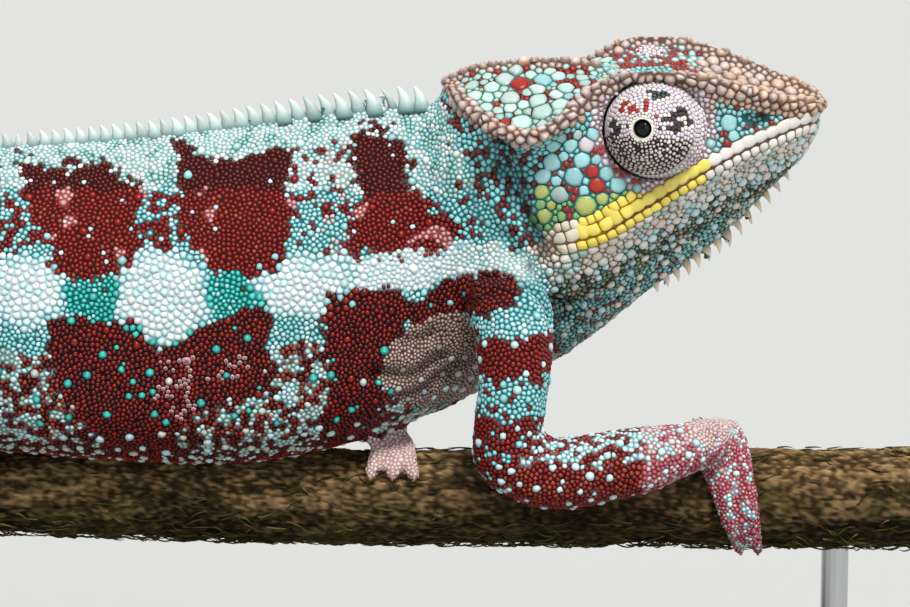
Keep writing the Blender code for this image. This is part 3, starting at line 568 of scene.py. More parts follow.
def largest_island(points, quads):
    """Keeps the biggest connected surface, without hidden shells."""
    label = np.arange(len(points))
    while True:
        lowest = label[quads].min(axis=1)
        new = label.copy()
        for k in range(4):
            np.minimum.at(new, quads[:, k], lowest)
        new = new[new]
        if (new == label).all():
            break
        label = new
    values, counts = np.unique(label, return_counts=True)
    keep = label == values[counts.argmax()]
    number = np.cumsum(keep) - 1
    return points[keep], number[quads[keep[quads[:, 0]]]]


def vertex_normals(points, quads):
    a, b, c, d = (points[quads[:, k]] for k in range(4))
    face = np.cross(c - a, d - b)
    sums = [np.bincount(quads.ravel(), np.repeat(column, 4), len(points)) for column in face.T]
    return unit(np.stack(sums, 1))


def averaged(values, pairs, count):
    """The mean of each vertex's neighbours."""
    a, b = pairs
    total = np.bincount(a, minlength=count) + np.bincount(b, minlength=count)
    sums = [np.bincount(a, column[b], count) + np.bincount(b, column[a], count) for column in values.T]
    return np.stack(sums, 1) / total[:, None]


def softened(points, quads):
    """Smooths the skin by the passes of each solid, which change evenly from one to the next."""
    edges = np.sort(np.stack([quads, np.roll(quads, -1, axis=1)], 2).reshape(-1, 2), axis=1)
    pairs = np.unique(edges, axis=0).T
    count = len(points)
    passes = np.array([next(v for k, v in SMOOTH_PASSES.items() if node.startswith(k)) for node in FLESH])
    passes = passes[owners(points)][:, None].astype(float)
    for _ in range(BLEND_PASSES):
        passes = averaged(passes, pairs, count)
    for step in range(max(SMOOTH_PASSES.values())):
        weight = np.clip(passes - step, 0, 1) * SMOOTH_SHARE
        points = points + (averaged(points, pairs, count) - points) * weight
    return points


CREASES = [  # lines pressed into the skin: points, width, depth
    ([(39.6, -11.5, 97.5), (40.6, -11.0, 93.5), (42.2, -10.6, 89.0), (44.6, -10.2, 84.0), (46.0, -9.5, 79.5),
      (49.0, -6.0, 74.0)], 1.15, 1.6),
    ([(36.0, -10.6, 95.0), (37.0, -10.4, 91.0), (38.6, -10.4, 87.5), (41.5, -10.6, 84.5)], 1.0, 0.7),
    ([(46.5, -12.5, 90.5), (46.0, -11.0, 87.0), (47.0, -9.8, 83.5)], 0.8, 0.5),
    ([(47.8, -9.0, 80.5), (50.5, -7.5, 77.0), (53.0, -5.0, 74.0)], 0.8, 0.6),
    ([(36.0, -12.6, 83.2), (40.0, -12.8, 82.0), (43.6, -12.6, 79.4), (45.6, -12.2, 76.0)], 0.7, 0.6),
    ([(37.0, -14.0, 80.2), (40.5, -14.4, 79.4), (43.0, -14.6, 77.0)], 0.6, 0.35),
    ([(24.0, -10.5, 68.5), (29.0, -9.6, 68.0), (34.0, -9.6, 68.6)], 1.0, 0.9),
    ([(27.0, -9.0, 65.0), (31.0, -7.5, 65.4), (36.0, -7.5, 66.5)], 1.0, 0.8),
    ([(28.0, -10.3, 72.5), (34.0, -11.0, 72.8), (37.0, -13.0, 73.5)], 1.0, 0.6),
]


TOE_GAP_REACH = (1.0, -1.2, -3.4)  # from the claws' roots forward and back


def toe_gaps():
    """A line between each two toes of a bundle, from their ends towards the palm."""
    lines = []
    for node, (root, _, out) in CLAWS.items():
        stem, number = node.rsplit("_", 1)
        beside = CLAWS.get(f"{stem}_{int(number) + 1}")
        if beside:
            middle, along = (root + beside[0]) / 2, unit(out + beside[2])
            lines.append(np.array([middle + along * reach for reach in TOE_GAP_REACH]))
    return lines


CREASE_STEP = 1.5
CREASE_PATHS = []  # the creases of both sides, once they lie on the skin


def lay_creases(points, quads):
    """Puts the creases of both sides on the skin."""
    tree = search_tree(points, quads)
    CREASE_PATHS.clear()
    for line, width, deep in CREASES:
        for side in (1.0, -1.0):
            path = curve_through(np.array(line) * (1, side, 1), CREASE_STEP)
            CREASE_PATHS.append((np.array([tree.find_nearest(p)[0] for p in path.tolist()]), width, deep))


NOSTRIL_WIDTH, TOE_GAP_WIDTH, PIT_DEPTH = 0.6, 0.5, 1.3
TOE_GAP_FULL, TOE_GAP_LENGTH = 2.0, 5.0  # a gap is full so far from its end, then fades


def groove(points, line, width, deep):
    """Depth of a rounded groove along a line."""
    return deep * np.exp(-((line_distance(points, line) / width) ** 2))


def crease_depth(points):
    """How deep the creases of neck and armpit, the nostrils and the gaps between toes press the skin in."""
    grooves = [groove(points, *crease) for crease in CREASE_PATHS]
    grooves += [groove(points, line, NOSTRIL_WIDTH, PIT_DEPTH) for line in both_sides(NOSTRIL)]
    for line in toe_gaps():
        near_end = smooth_step(-np.linalg.norm(points - line[0], axis=1), -TOE_GAP_LENGTH, -TOE_GAP_FULL)
        grooves.append(groove(points, line, TOE_GAP_WIDTH, PIT_DEPTH) * near_end)
    return np.max(grooves, axis=0)


def make_skin():
    points, quads = voxel_skin()
    points = softened(points, quads)
    normals = vertex_normals(points, quads)
    points = points - normals * (GROW + COAT_DEPTH)
    lay_creases(points, quads)
    points -= normals * crease_depth(points)[:, None]
    lay_creases(points, quads)
    return points, quads, vertex_normals(points, quads)


SKIN, QUADS, SKIN_NORMALS = make_skin()
SKIN_TREE = search_tree(SKIN, QUADS)


def snapped(points):
    """The nearest points of the skin, and the normals there."""
    found = [SKIN_TREE.find_nearest(p) for p in np.asarray(points).tolist()]
    places = np.array([f[0] for f in found])
    return places, unit(SKIN_NORMALS[QUADS[[f[2] for f in found]]].mean(axis=1))


# ---------------------------------------------------------------- markings


class Ink:
    """Colours of some points as numbers in the palette, laid over each other."""

    def __init__(self, chance, name):
        self.chance = chance
        self.ids = np.full(len(chance), ID[name])

    def __call__(self, where, name, below=np.inf, above=-np.inf):
        """Colours the points of a mask, or only those of them with a chance between these limits."""
        self.ids[where & (self.chance < below) & (self.chance > above)] = ID[name]


REAR = -24.0  # behind this X the flank's pattern follows back and belly and repeats
PATTERN_MIDDLE, PATTERN_HEIGHT = 76.2, 42.0


def pattern_place(p):
    """Where points lie in the flank's pattern, with its steady height all along the body."""
    x, _, z = p.T
    back, belly = profile(x, BACK_LINE), profile(x, BELLY_LINE)
    level = PATTERN_MIDDLE + (z - (back + belly) / 2) * PATTERN_HEIGHT / (back - belly)
    return np.where(x < REAR, x + REPEAT * np.ceil((REAR - x) / REPEAT), x), np.where(x < REAR, level, z)


ARMPIT = (33.5, 69.0, 9.0, 6.8)
SHED_OVALS = [(-1.0, 66.5, 2.6, 4.6), (5.5, 69.5, 2.4, 2.0)]
STRIPE = [(-30, 79), (8, 79.5), (30, 82.2), (45, 83.5)]
STRIPE_HALF = 2.6
BACK_BAND = 91.5


def flank(p, chance):
    """Colours of trunk and shoulders."""
    x, z = pattern_place(p)
    x = x + 0.9 * wobble(p, 3.0, 1) + 0.5 * wobble(p, 1.2, 2)
    z = z + 0.9 * wobble(p, 3.0, 3) + 0.5 * wobble(p, 1.2, 4)
    _, y, height = p.T
    speck = wobble(p, 1.1, 7)
    ink = Ink(chance, "turquoise")
    ink(True, "ice", below=0.25)
    band = (z > BACK_BAND + 1.2 * wobble(p, 2.0, 5)) & (chance > 0.12)
    ink(band, "white")
    ink(band, "frost", below=0.75)
    ink(band, "ice", below=0.45)
    ink(band & (wobble(p * (1, 1, 0.25), 1.6, 13) > 0.2), "mist")
    low = z < 72 + 3 * wobble(p, 6.0, 6)
    ink(low, "ice")
    ink(low, "sage", below=0.5)
    ink(low, "bone", above=0.8)
    red = low & (speck < 0.05 + 0.15 * wobble(p, 5.0, 17))
    ink(red, "deep")
    ink(red, "rust", below=0.5)
    ink((z < 60 + 2 * wobble(p, 5.0, 8)) & (speck < 0.12), "deep")
    between = span(x, -7, 0) & span(z, 81, 91) | (x < -19) & span(z, 80, 91)
    ink(between & (speck < 0.05), "maroon")
    beside = span(x, 12, 21) & span(z, 82, 97)
    ink(beside & (speck < -0.25), "maroon")
    ink(beside & (x > 17), "blush", below=0.3)
    stripe = (np.abs(z - profile(x, STRIPE)) < STRIPE_HALF) & (x > 6)
    ink(stripe, "frost")
    ink(stripe, "white", below=0.72 - 0.05 * np.clip(x - 32, 0, 12))
    ink(stripe & (x > 32), "turquoise", above=0.85)
    ragged = 0.8 * wobble(p, 1.0, 15)
    for oval in TEAL_SPOTS:
        spot = oval_distance(x, z, oval) + ragged < 0
        ink(spot, "turquoise")
        ink(spot, "teal", below=0.75)
        ink(spot, "dusk", above=0.93)
    ragged = 1.1 * wobble(p, 1.8, 16)
    for oval in OVALS:
        distance = oval_distance(x, z, oval) + ragged
        ink(distance < 0, "ice")
        ink(distance < -1.0, "white", below=0.8)
    pale = (wobble(p, 3.5, 10) > 0.42) & (z < 92)
    torn = wobble(p, 1.0, 9) + chance - 0.5
    for outline, ragged in UPPER_BARS:
        inside = outline_distance(x, z, outline) + ragged * torn < 0
        ink(inside, "maroon")
        ink(inside, "rust", below=0.08)
        ink(inside & (z > BACK_BAND), "deep")
        ink(inside & pale, "pink")
        ink(inside, "ice", above=0.985)
    torn = wobble(p, 1.0, 11) + chance - 0.5
    for outline, ragged in LOWER_BARS:
        inside = outline_distance(x, z, outline) + ragged * torn < 0
        ink(inside, "maroon")
        ink(inside, "deep", below=0.6)
        ink(inside, "teal", above=0.988)
    ragged = 1.6 * wobble(p, 1.0, 14)
    for oval in SHED_OVALS:
        ink(oval_distance(x, z, oval) + ragged < -0.2, "shed", below=0.5)
    armpit = oval_distance(p[:, 0], height, ARMPIT) + wobble(p, 2.0, 12)
    ink((armpit < 0) & (np.abs(y) < 14.5), "axilla")
    ink((height < 57.5) & (np.abs(y) < 7), "rust", below=0.6)
    return ink.ids


SHOULDER_BAND, ELBOW_BAND = 74.2, (64.4, 69.2)
HIP = (-63.0, 74.5)
FOREARM_TOP = 58.2
PAW_TOP = 58.6


def limb(p, owner, chance):
    """Bands and speckles of arms, legs, hands and feet."""
    x, _, z = p.T
    speck = wobble(p, 0.9, 22)
    ragged = 1.2 * wobble(p, 1.6, 23)
    ink = Ink(chance, "maroon")
    arm, leg = in_nodes(owner, "arm"), in_nodes(owner, "leg")
    upper = in_nodes(owner, "arm", ends="upper")
    level = z + ragged
    ink(upper & (level > SHOULDER_BAND), "turquoise")
    ink(upper & (level > SHOULDER_BAND), "ice", below=0.4)
    ink(upper & span(level, *ELBOW_BAND) & (speck > -0.3), "turquoise")
    ink(upper & (level < ELBOW_BAND[0]) & (speck > 0.26), "turquoise")
    hip = np.hypot(x - HIP[0], z - HIP[1]) + ragged
    ink(leg & (hip < 9), "turquoise")
    ink(leg & span(hip, 15, 20) & (speck > -0.25), "turquoise")
    lower = in_nodes(owner, "arm", "leg", ends="lower")
    ink(lower, "rust")
    ink(lower, "maroon", below=0.45)
    ink(lower & (z > FOREARM_TOP + ragged) & (speck > 0.04), "ice")
    ink(lower & (z < FOREARM_TOP) & (wobble(p, 1.4, 21) > 0.5), "ice")
    far = lower & ((x > 57.5 + ragged) & arm | leg & (x < -62 + ragged))
    ink(far, "magenta")
    ink(far & (speck > 0.18), "blush")
    foot = in_nodes(owner, "hand", "foot")
    ink(foot, "magenta")
    ink(foot & (speck > 0.12), "ice")
    ink(foot, "pink", below=0.25)
    paw = foot | far
    edge = z + 0.8 * ragged
    ink(paw & (edge > PAW_TOP) & (speck > -0.15), "blush")
    ink(paw & (edge > PAW_TOP) & (speck > 0.22), "ice")
    palm = paw & (edge > 59.8) & (np.abs(x) > 63.5 + ragged)
    ink(palm, "blush")
    ink(palm, "palm", below=0.5)
    ink(in_nodes(owner, "hand_left"), "palm")
    return ink.ids


TAIL_MIDDLE = (-118.5, 47.1)
COIL_OUT, COIL_WIDTH, COIL_DEGREES = 20.5, 16.5, 540
COIL_START = -112.0  # the coil lies behind this X
RING_LENGTH = 13.0


def tail(p, chance):
    """Rings of the tail, by the length run from the hips."""
    x, z = p[:, 0] - TAIL_MIDDLE[0], p[:, 2] - TAIL_MIDDLE[1]
    guess = np.clip((COIL_OUT - np.hypot(x, z)) / COIL_WIDTH, 0, 1)
    angle = np.degrees(np.arctan2(z, x)) - 97.0
    angle += 360 * np.round((COIL_DEGREES * guess - angle) / 360)
    coiled = 52 + (COIL_OUT - angle / 65.5) * np.radians(np.maximum(angle, 0))
    run = np.where(p[:, 0] > COIL_START, -p[:, 0] - 60, coiled) + 1.3 * wobble(p, 1.6, 31)
    ink = Ink(chance, "turquoise")
    ink(True, "ice", below=0.25)
    red = (run / RING_LENGTH % 1.0 > 0.55) | (wobble(p, 0.9, 32) < -0.5)
    ink(red, "rust")
    ink(red, "maroon", below=0.6)
    return ink.ids


def head_place(p):
    """Points of the head turned back upright, with every point on the left side."""
    q = rolled(p, -1.0)
    q[:, 1] = np.abs(q[:, 1])
    return q


CREST_LINES = both_sides(curve_through(CREST, 0.5))
PARIETAL_LINE = rolled(curve_through(PARIETAL, 0.5))
RIDGE_LINES = [*CREST_LINES, PARIETAL_LINE]
MOUTH_LINES = both_sides(curve_through(MOUTH, 0.4))
NOSTRIL_LINES = both_sides(NOSTRIL)


def inside_crests(q):
    """Points on top of the head between its side crests, for points turned back upright."""
    x, y, z = q.T
    ahead, side, height = np.array(CREST)[::-1].T
    return (y < np.interp(x, ahead, side) - 0.3) & (z > np.interp(x, ahead, height) - 1.6) & (x > 33.5)


def mouth_height(x):
    """Height of the mouth's line along X, for points turned back upright."""
    return profile(x, [(place, height) for place, _, height in MOUTH])


def nearest_line(p, lines):
    return np.min([line_distance(p, line) for line in lines], axis=0)


MOUTH_CORNER = (47.2, 86.2)
CASQUE_END, SNOUT_START = 54.5, 62.0
PALE_JAW, MOTTLED_JAW = 5.0, 9.5  # how far below the mouth the pale band and the mottled one reach
EYE_RING = 1.9


def head(p, chance):
    """Colours of head, jaw and throat."""
    q = head_place(p)
    x, _, z = q.T
    speck, broad = wobble(p, 0.9, 41), wobble(p, 4.0, 42)
    ink = Ink(chance, "turquoise")
    ink((speck < -0.22) & (x < 49), "garnet")
    ink((x < 38) & (speck < -0.05) & (z > 90), "garnet")
    mouth = mouth_height(x)
    under = z < np.where(x > MOUTH[0][0], mouth, MOUTH[0][2] - (MOUTH[0][0] - x) * 0.2)
    pale = under & (z > mouth - PALE_JAW - 0.5 * broad)
    ink(under, "throat")
    ink(under, "turquoise", below=0.4)
    ink(under & (speck < -0.42), "rust")
    ink(under & (speck > 0.3), "pearl")
    ink(under & (x > 70), "bone", below=0.5)
    ink(pale, "pearl")
    ink(pale, "cream", below=0.8)
    ink(pale, "ivory", below=0.45)
    ink(pale & (speck < -0.3), "mint")
    mottled = under & ~pale & (z > mouth - MOTTLED_JAW - broad)
    ink(mottled & (speck < 0.14), "throat")
    ink(mottled, "olive", below=0.45)
    ink(mottled & (speck < -0.22), "crest")
    ink(mottled, "dusk", above=0.84)
    ink(np.hypot(x - MOUTH_CORNER[0], z - MOUTH_CORNER[1]) < 2.4, "cream")
    crest = nearest_line(p, CREST_LINES)
    roof = inside_crests(q) & (crest > 0.9)
    casque = roof & (x < CASQUE_END)
    ink(casque, "sky")
    ink(casque, "mint", below=0.75)
    ink(casque & (speck < 0.03) & (wobble(p, 3.0, 43) > -0.25), "brick")
    ink(casque, "pearl", above=0.8, below=0.84)
    crown = roof & (x >= CASQUE_END)
    ink(crown, "pearl")
    ink(crown, "brick", below=0.45)
    ink(crown, "crest", above=0.85)
    front = crown & (x > 65 + 2 * broad)
    ink(front, "amber")
    ink(front, "crest", below=0.6)
    ink(front, "blush", above=0.92)
    ridge = (crest < 1.25) | (line_distance(p, PARIETAL_LINE) < 1.0) & (x < 50)
    ink(ridge, "amber")
    ink(ridge, "crest", below=0.75)
    ink(ridge & (x > 76), "amber")
    lips = nearest_line(p, MOUTH_LINES)
    lip = lips < np.interp(x, [47, 57, 60], [2.6, 2.6, 1.7])
    ink(lip, "ivory")
    ink(lip & (x < YELLOW_LIP_TO), "yellow")
    ink(lip & (x < CREAM_LIP_TO), "cream")
    # A thin dark line along the mouth is painted shade in the slit between the lips.
    ink(lips < 0.3, "crest")
    # The nostrils are painted dark as shade inside their pits.
    ink(nearest_line(p, NOSTRIL_LINES) < 0.75, "dusk")
    loreal = ~lip & ~roof & ~under & (x > SNOUT_START) & (crest > 1.2)
    ink(loreal, "sky")
    ink(loreal & (speck < -0.2), "brick")
    ink(loreal & (z > 104.6 - (x - 66) * 0.25), "amber")
    for eye in EYES:
        near = (eye.distance(p) < eye.radius + EYE_RING) & ~ridge & ~roof
        ink(near, "crest")
        ink(near, "lilac", below=0.75)
    return ink.ids


def markings(p, owner, chance):
    """The number in the palette of each point's colour."""
    x, _, z = p.T
    neck = in_nodes(owner, "neck")
    body = neck | in_nodes(owner, "trunk") | in_nodes(owner, "arm", ends="upper") & (z > 75.2)
    skull, coil = in_nodes(owner, "head", "lower_jaw"), in_nodes(owner, "tail")
    rest = ~(body | coil | skull)
    ink = Ink(chance, "turquoise")
    for mask, rule in ((body, flank), (coil, tail), (skull, head)):
        if mask.any():
            ink.ids[mask] = rule(p[mask], chance[mask])
    if rest.any():
        ink.ids[rest] = limb(p[rest], owner[rest], chance[rest])
    nape = neck & (z > 80) & (x > 28) & np.isin(ink.ids, [ID["ice"], ID["sage"]])
    ink(nape, "turquoise", below=0.75)
    spotted = neck & (x > 33) & (z > 86)
    spotted[spotted] = wobble(p[spotted], 0.9, 51) < -0.32
    ink(spotted, "garnet")
    return ink.ids


# ---------------------------------------------------------------- where the scales sit


def cheek_zone(q):
    """Where the plates of the cheek lie, for points turned back upright."""
    x, _, z = q.T
    return span(x, 43.2 + 0.25 * (z - 88), 57.5) & span(z, mouth_height(x) + 2.2, 101.4)


def scale_radius(p, owner):
    """The usual radius of a scale at each point."""
    radius = np.full(len(p), 0.29)
    radius[in_nodes(owner, "tail")] = 0.36
    radius[in_nodes(owner, "tail_4", "tail_5")] = 0.31
    radius[in_nodes(owner, "arm", "leg")] = 0.3
    radius[in_nodes(owner, "hand", "foot")] = 0.25
    x, z = pattern_place(p)
    body = in_nodes(owner, "trunk")
    for oval in OVALS:
        radius[body & (oval_distance(x, z, oval) < 0)] = 0.42
    radius[body & (oval_distance(p[:, 0], p[:, 2], ARMPIT) < 0.5) & (np.abs(p[:, 1]) < 14)] = 0.24
    skull = in_nodes(owner, "head", "lower_jaw")
    radius[skull] = head_scale_radius(p[skull])
    return radius


def head_scale_radius(p):
    """The usual radius of a scale of head and jaw: large flat plates among small scales on top and cheek."""
    q = head_place(p)
    x, _, z = q.T
    radius = np.full(len(q), 0.38)
    pick = rng.random(len(q))
    plates = np.select([pick < 0.012, pick < 0.05, pick < 0.14, pick < 0.4], [1.25, 0.95, 0.7, 0.48], 0.32)
    roof = inside_crests(q)
    casque, crown = roof & (x < 55), roof & (x >= 55)
    rear = 0.75 + 0.4 * np.exp(-(((x[casque] - 43.5) / 5.5) ** 2))
    radius[casque] = np.maximum(plates[casque] * rear, 0.3)
    knobs = np.select([pick < 0.06, pick < 0.3], [0.95, 0.72], 0.5)
    radius[crown] = np.where(x > 66, knobs, 0.45)[crown]
    radius[(x > SNOUT_START) & ~roof & (z > 96)] = 0.36
    cheek = cheek_zone(q)
    radius[cheek] = plates[cheek]
    mouth = mouth_height(x)
    below = (z < mouth) & (x > 47)
    radius[below] = 0.34
    nodules = below & (z > mouth - 6.0)
    radius[nodules] = np.select([pick < 0.04, pick < 0.2], [0.7, 0.52], 0.34)[nodules]
    crest = nearest_line(p, RIDGE_LINES)
    radius[crest < 1.6] = 0.38 + 0.1 * rng.random((crest < 1.6).sum())
    around_eye = np.min([eye.distance(p) - eye.radius for eye in EYES], axis=0)
    radius[(around_eye < 1.3) & (crest > 1.0)] = 0.3
    return radius


def tubercles(p, owner):
    """Radius of the larger scales that stand scattered among the small ones, or 0 for none."""
    radius = np.zeros(len(p))
    chance = rng.random(len(p))
    for starts, least, more in (
        (("trunk",), 0.42, 0.2 * chance),
        (("neck",), 0.5, 0 * chance),
        (("arm", "leg", "tail"), 0.36, 0.26 * chance**2),
        (("hand", "foot"), 0.4, 0 * chance),
        (("lower_jaw",), 0.5, 0.15 * chance),
    ):
        here = in_nodes(owner, *starts)
        radius[here] = least + more[here]
    return radius


def tubercle_room(p, owner):
    """How far the scattered larger scales keep apart, as the radius of free room round each."""
    room = np.full(len(p), 1.0)
    trunk = in_nodes(owner, "trunk")
    room[trunk] = 2.0
    room[trunk & (p[:, 2] < 70) & (wobble(p, 7.0, 71) > -0.1)] = 1.0
    room[in_nodes(owner, "neck")] = 2.0
    room[in_nodes(owner, "lower_jaw")] = 0.95
    return room * rng.uniform(0.55, 1.5, len(p))


class Scales:
    """All scales so far: place, normal, radius, height as a share of it, colour number, fixed or not."""

    def __init__(self):
        self.groups = []

    def add(self, place, normal, *values):
        self.groups.append((place, normal, *(np.broadcast_to(value, len(place)) for value in values)))

    def joined(self):
        return [np.concatenate(column) for column in zip(*self.groups)]


class Room:
    """Finds whether a new scale has room beside those already there."""

    def __init__(self, cell):
        self.cell, self.grid = cell, {}

    def key(self, p):
        return tuple(int(c // self.cell) for c in p)

    def put(self, p, r):
        self.grid.setdefault(self.key(p), []).append((p[0], p[1], p[2], r))

    def free(self, p, r, packing):
        kx, ky, kz = self.key(p)
        x, y, z = p
        get = self.grid.get
        for i in (kx - 1, kx, kx + 1):
            for j in (ky - 1, ky, ky + 1):
                for k in (kz - 1, kz, kz + 1):
                    for a, b, c, s in get((i, j, k), ()):
                        reach = (r + s) * packing
                        if (a - x) ** 2 + (b - y) ** 2 + (c - z) ** 2 < reach * reach:
                            return False
        return True


PACKING = 0.8  # how close scales come, as a share of their radii together
SMALL = 0.68  # scales up to this radius are in the fine grid
FINE_CELL, WIDE_CELL, TUBERCLE_CELL = 1.36, 2.7, 6.1  # each as wide as the widest reach looked for in it
PLACES = 640000  # random places tried for scales
TUBERCLE_TRIES = 0.05  # share of them tried for the larger scattered scales
TUBERCLE_HEIGHT, SCALE_HEIGHT = 0.6, 0.46  # as a share of the radius
MOUTH_FREE = 1.8  # no random scales so near to the mouth


def random_places(count):
    """Evenly random points of the skin, and their normals."""
    a, b, c, d = (SKIN[QUADS[:, k]] for k in range(4))
    area = np.linalg.norm(np.cross(c - a, d - b), axis=1)
    corners = QUADS[rng.choice(len(QUADS), count, p=area / area.sum())]
    u, v = rng.random((2, count, 1))

    def blend(values):
        w = values[corners]
        return (1 - u) * ((1 - v) * w[:, 0] + v * w[:, 3]) + u * ((1 - v) * w[:, 1] + v * w[:, 2])

    return blend(SKIN), unit(blend(SKIN_NORMALS))


def perch_stations():
    """Place along X, height of the axis and radius of the branch, read from its solid."""
    p = node_points("perch")
    rows = []
    for x in np.unique(np.round(p[:, 0], 1)):
        ring = p[np.abs(p[:, 0] - x) < 0.06]
        width = np.ptp(ring[:, 1])
        if width > 8:
            rows.append((x, (ring[:, 2].max() + ring[:, 2].min()) / 2, width / 2))
    return np.array(rows).T


PERCH = perch_stations()


def branch_at(x):
    """Height of the branch's axis and its radius along X."""
    return np.interp(x, PERCH[0], PERCH[1]), np.interp(x, PERCH[0], PERCH[2])


def off_perch(p):
    """Distance from the branch's surface."""
    height, radius = branch_at(p[:, 0])
    return np.hypot(p[:, 1], p[:, 2] - height) - radius


COVER_GAP = 0.35  # how near to the branch or a turret the skin counts as covered
SOCKET_FACING, SOCKET_FRONT = 1.5, 0.3


def hidden_places(p, normal):
    """Places that another piece covers: the eye sockets and the grip on the branch."""
    covered = off_perch(p) < COVER_GAP
    for eye in EYES:
        inward = ((eye.middle - p) * normal).sum(1) > SOCKET_FACING
        deep = (p - eye.middle) @ eye.axis < SOCKET_FRONT
        covered |= inward & deep & (eye.distance(p) < eye.radius + COVER_GAP)
    return covered


def row(scales, room, line, spacing, radius, height, colour, lift=0.0, loose=0.0):
    """A row of scales along a line on the skin, or beside it."""
    place, normal = snapped(curve_through(line, spacing))
    if lift:
        across = np.cross(unit(np.gradient(place, axis=0)), normal)
        across *= np.sign(across[:, 2:3] * lift)
        place, normal = snapped(place + across * abs(lift))
    n = len(place)
    if loose:
        place, normal = snapped(place + loose * spacing * rng.uniform(-1, 1, (n, 3)))
    r = radius * (1 + (0.07 + 1.2 * loose) * rng.uniform(-1, 1, n))
    ids = colour(place)
    keep = ~hidden_places(place, normal)
    for k in np.flatnonzero(keep):
        room.put(tuple(place[k]), r[k])
    scales.add(place[keep], normal[keep], r[keep], height, ids[keep], True)


def lip_colour(place):
    x = place[:, 0] + 1.5 * rng.standard_normal(len(place))
    ids = np.where(x < YELLOW_LIP_TO, ID["yellow"], ID["ivory"])
    return np.where(place[:, 0] < CREAM_LIP_TO, ID["cream"], ids)


def jaw_colour(place):
    chance = rng.random(len(place))
    ids = np.select([chance < 0.5, chance < 0.8], [ID["ivory"], ID["cream"]], ID["pearl"])
    return np.where((place[:, 0] < YELLOW_LIP_TO - 3) & (chance < 0.12), ID["mint"], ids)


def crest_colour(place):
    chance = rng.random(len(place))
    amber = np.interp(place[:, 0], [60, 76], [0.15, 0.75])
    return np.where(chance < amber, ID["amber"], ID["crest"])


NO_COLOUR = -1  # to be coloured by the markings
NO_SCALE = -2  # keeps its room free, so that the skin shows
SEAM_RADIUS, NOSTRIL_RADIUS, NOSTRIL_ROOM = 0.035, 0.5, 0.55
PLATE_ROOM = 1.08  # plates are laid this much larger than their entry, to meet their neighbours


# Rows of scales along a line: points of the line, spacing, radius, height, and how far beside the line
# (up for plus) and how loosely they lie.
LIP_ROWS = (
    (slice(-1), 1.6, 0.9, 0.2, lip_colour, 0.88),
    (slice(-1), 1.35, 0.8, 0.26, lip_colour, -0.78),
    (slice(3), 1.3, 0.72, 0.26, lip_colour, 2.4),
    (slice(-2), 1.3, 0.72, 0.4, jaw_colour, -2.2, 0.12),
    (slice(-2), 1.4, 0.66, 0.45, jaw_colour, -3.4, 0.22),
    (slice(-2), 1.6, 0.6, 0.5, jaw_colour, -4.6, 0.3),
)
CREST_ROWS = (
    (slice(1, -1), 1.4, 0.82, 0.66, crest_colour, 0.0, 0.14),
    (slice(1, -1), 1.3, 0.74, 0.45, crest_colour, -1.3, 0.16),
    (slice(1, -1), 1.3, 0.66, 0.45, crest_colour, 1.2, 0.16),
)


def set_rows(scales, big):
    """Lips, crests and the plates of cheek and snout."""
    for line in both_sides(MOUTH):
        scales.add(*snapped(curve_through(line, 0.3)), SEAM_RADIUS, 0.0, NO_SCALE, True)
        for part, *form in LIP_ROWS:
            row(scales, big, line[part], *form)
    for line in both_sides(NOSTRIL):
        place, normal = snapped(curve_through(line, 0.4))
        for spot in place:
            big.put(tuple(spot), NOSTRIL_ROOM)
        scales.add(place, normal, NOSTRIL_RADIUS, 0.0, NO_SCALE, True)
    for line in both_sides(CREST):
        for part, *form in CREST_ROWS:
            row(scales, big, line[part], *form)
    row(scales, big, rolled(PARIETAL), 1.3, 0.74, 0.66, crest_colour, loose=0.1)
    for side in (1.0, -1.0):
        for x, z, radius, name in PLATES:
            start = rolled((x, side * 20.0, z))[0]
            hit = SKIN_TREE.ray_cast(Vector(start), Vector((0.0, -side, 0.0)))[0]
            if hit is None:
                continue
            place, normal = snapped([hit])
            if not hidden_places(place, normal)[0] and big.free(tuple(place[0]), radius, PACKING):
                height = 0.19 if radius > 0.6 else 0.3
                big.put(tuple(place[0]), radius * PLATE_ROOM)
                scales.add(place, normal, radius * PLATE_ROOM, height, ID[name], True)


def scatter(scales, places, normals, radii, order, rooms, height):
    """Adds scales at the random places that have room, in this order."""
    big, small = rooms
    kept = []
    listed, sizes = places.tolist(), radii.tolist()
    for i in order:
        p, r = listed[i], sizes[i]
        if big.free(p, r, PACKING) and (r > SMALL or small.free(p, r, PACKING)):
            (small if r <= SMALL else big).put(p, r)
            kept.append(i)
    scales.add(places[kept], normals[kept], radii[kept], height, NO_COLOUR, False)


def settled(place, normal, radius, fixed, rounds=5):
    """Pushes scales that crowd each other apart, along the skin."""
    free = ~fixed[:, None]
    for _ in range(rounds):
        near = neighbours_of(place, place, 7)
        apart = place[:, None] - place[near]
        gap = np.linalg.norm(apart, axis=2)
        wanted = (radius[:, None] + radius[near]) * 1.08
        push = np.clip(wanted - gap, 0, 0.4) / np.maximum(gap, 1e-6)
        moved, new_normal = snapped(np.where(free, place + (apart * push[..., None]).sum(1) * 0.32, place))
        place, normal = np.where(free, moved, place), np.where(free, new_normal, normal)
    return place, normal


# ---------------------------------------------------------------- scale shapes


def neighbours_of(place, every, count):
    """The numbers of the scales nearest to each place, without the one that stands on it."""
    tree = KDTree(len(every))
    for k, p in enumerate(every.tolist()):
        tree.insert(p, k)
    tree.balance()
    return np.array([[j for _, j, _ in tree.find_n(p, count + 1)] for p in place.tolist()])[:, 1:]


RIM_STEPS = 48  # directions tried for the rim of a scale
REACH = (1.9, 1.42)  # how far a large and a small scale may spread, as a share of the radius
ASIDE = 0.12  # neighbours don't bound directions that lie further aside than this cosine
CELL_GAP = 0.012


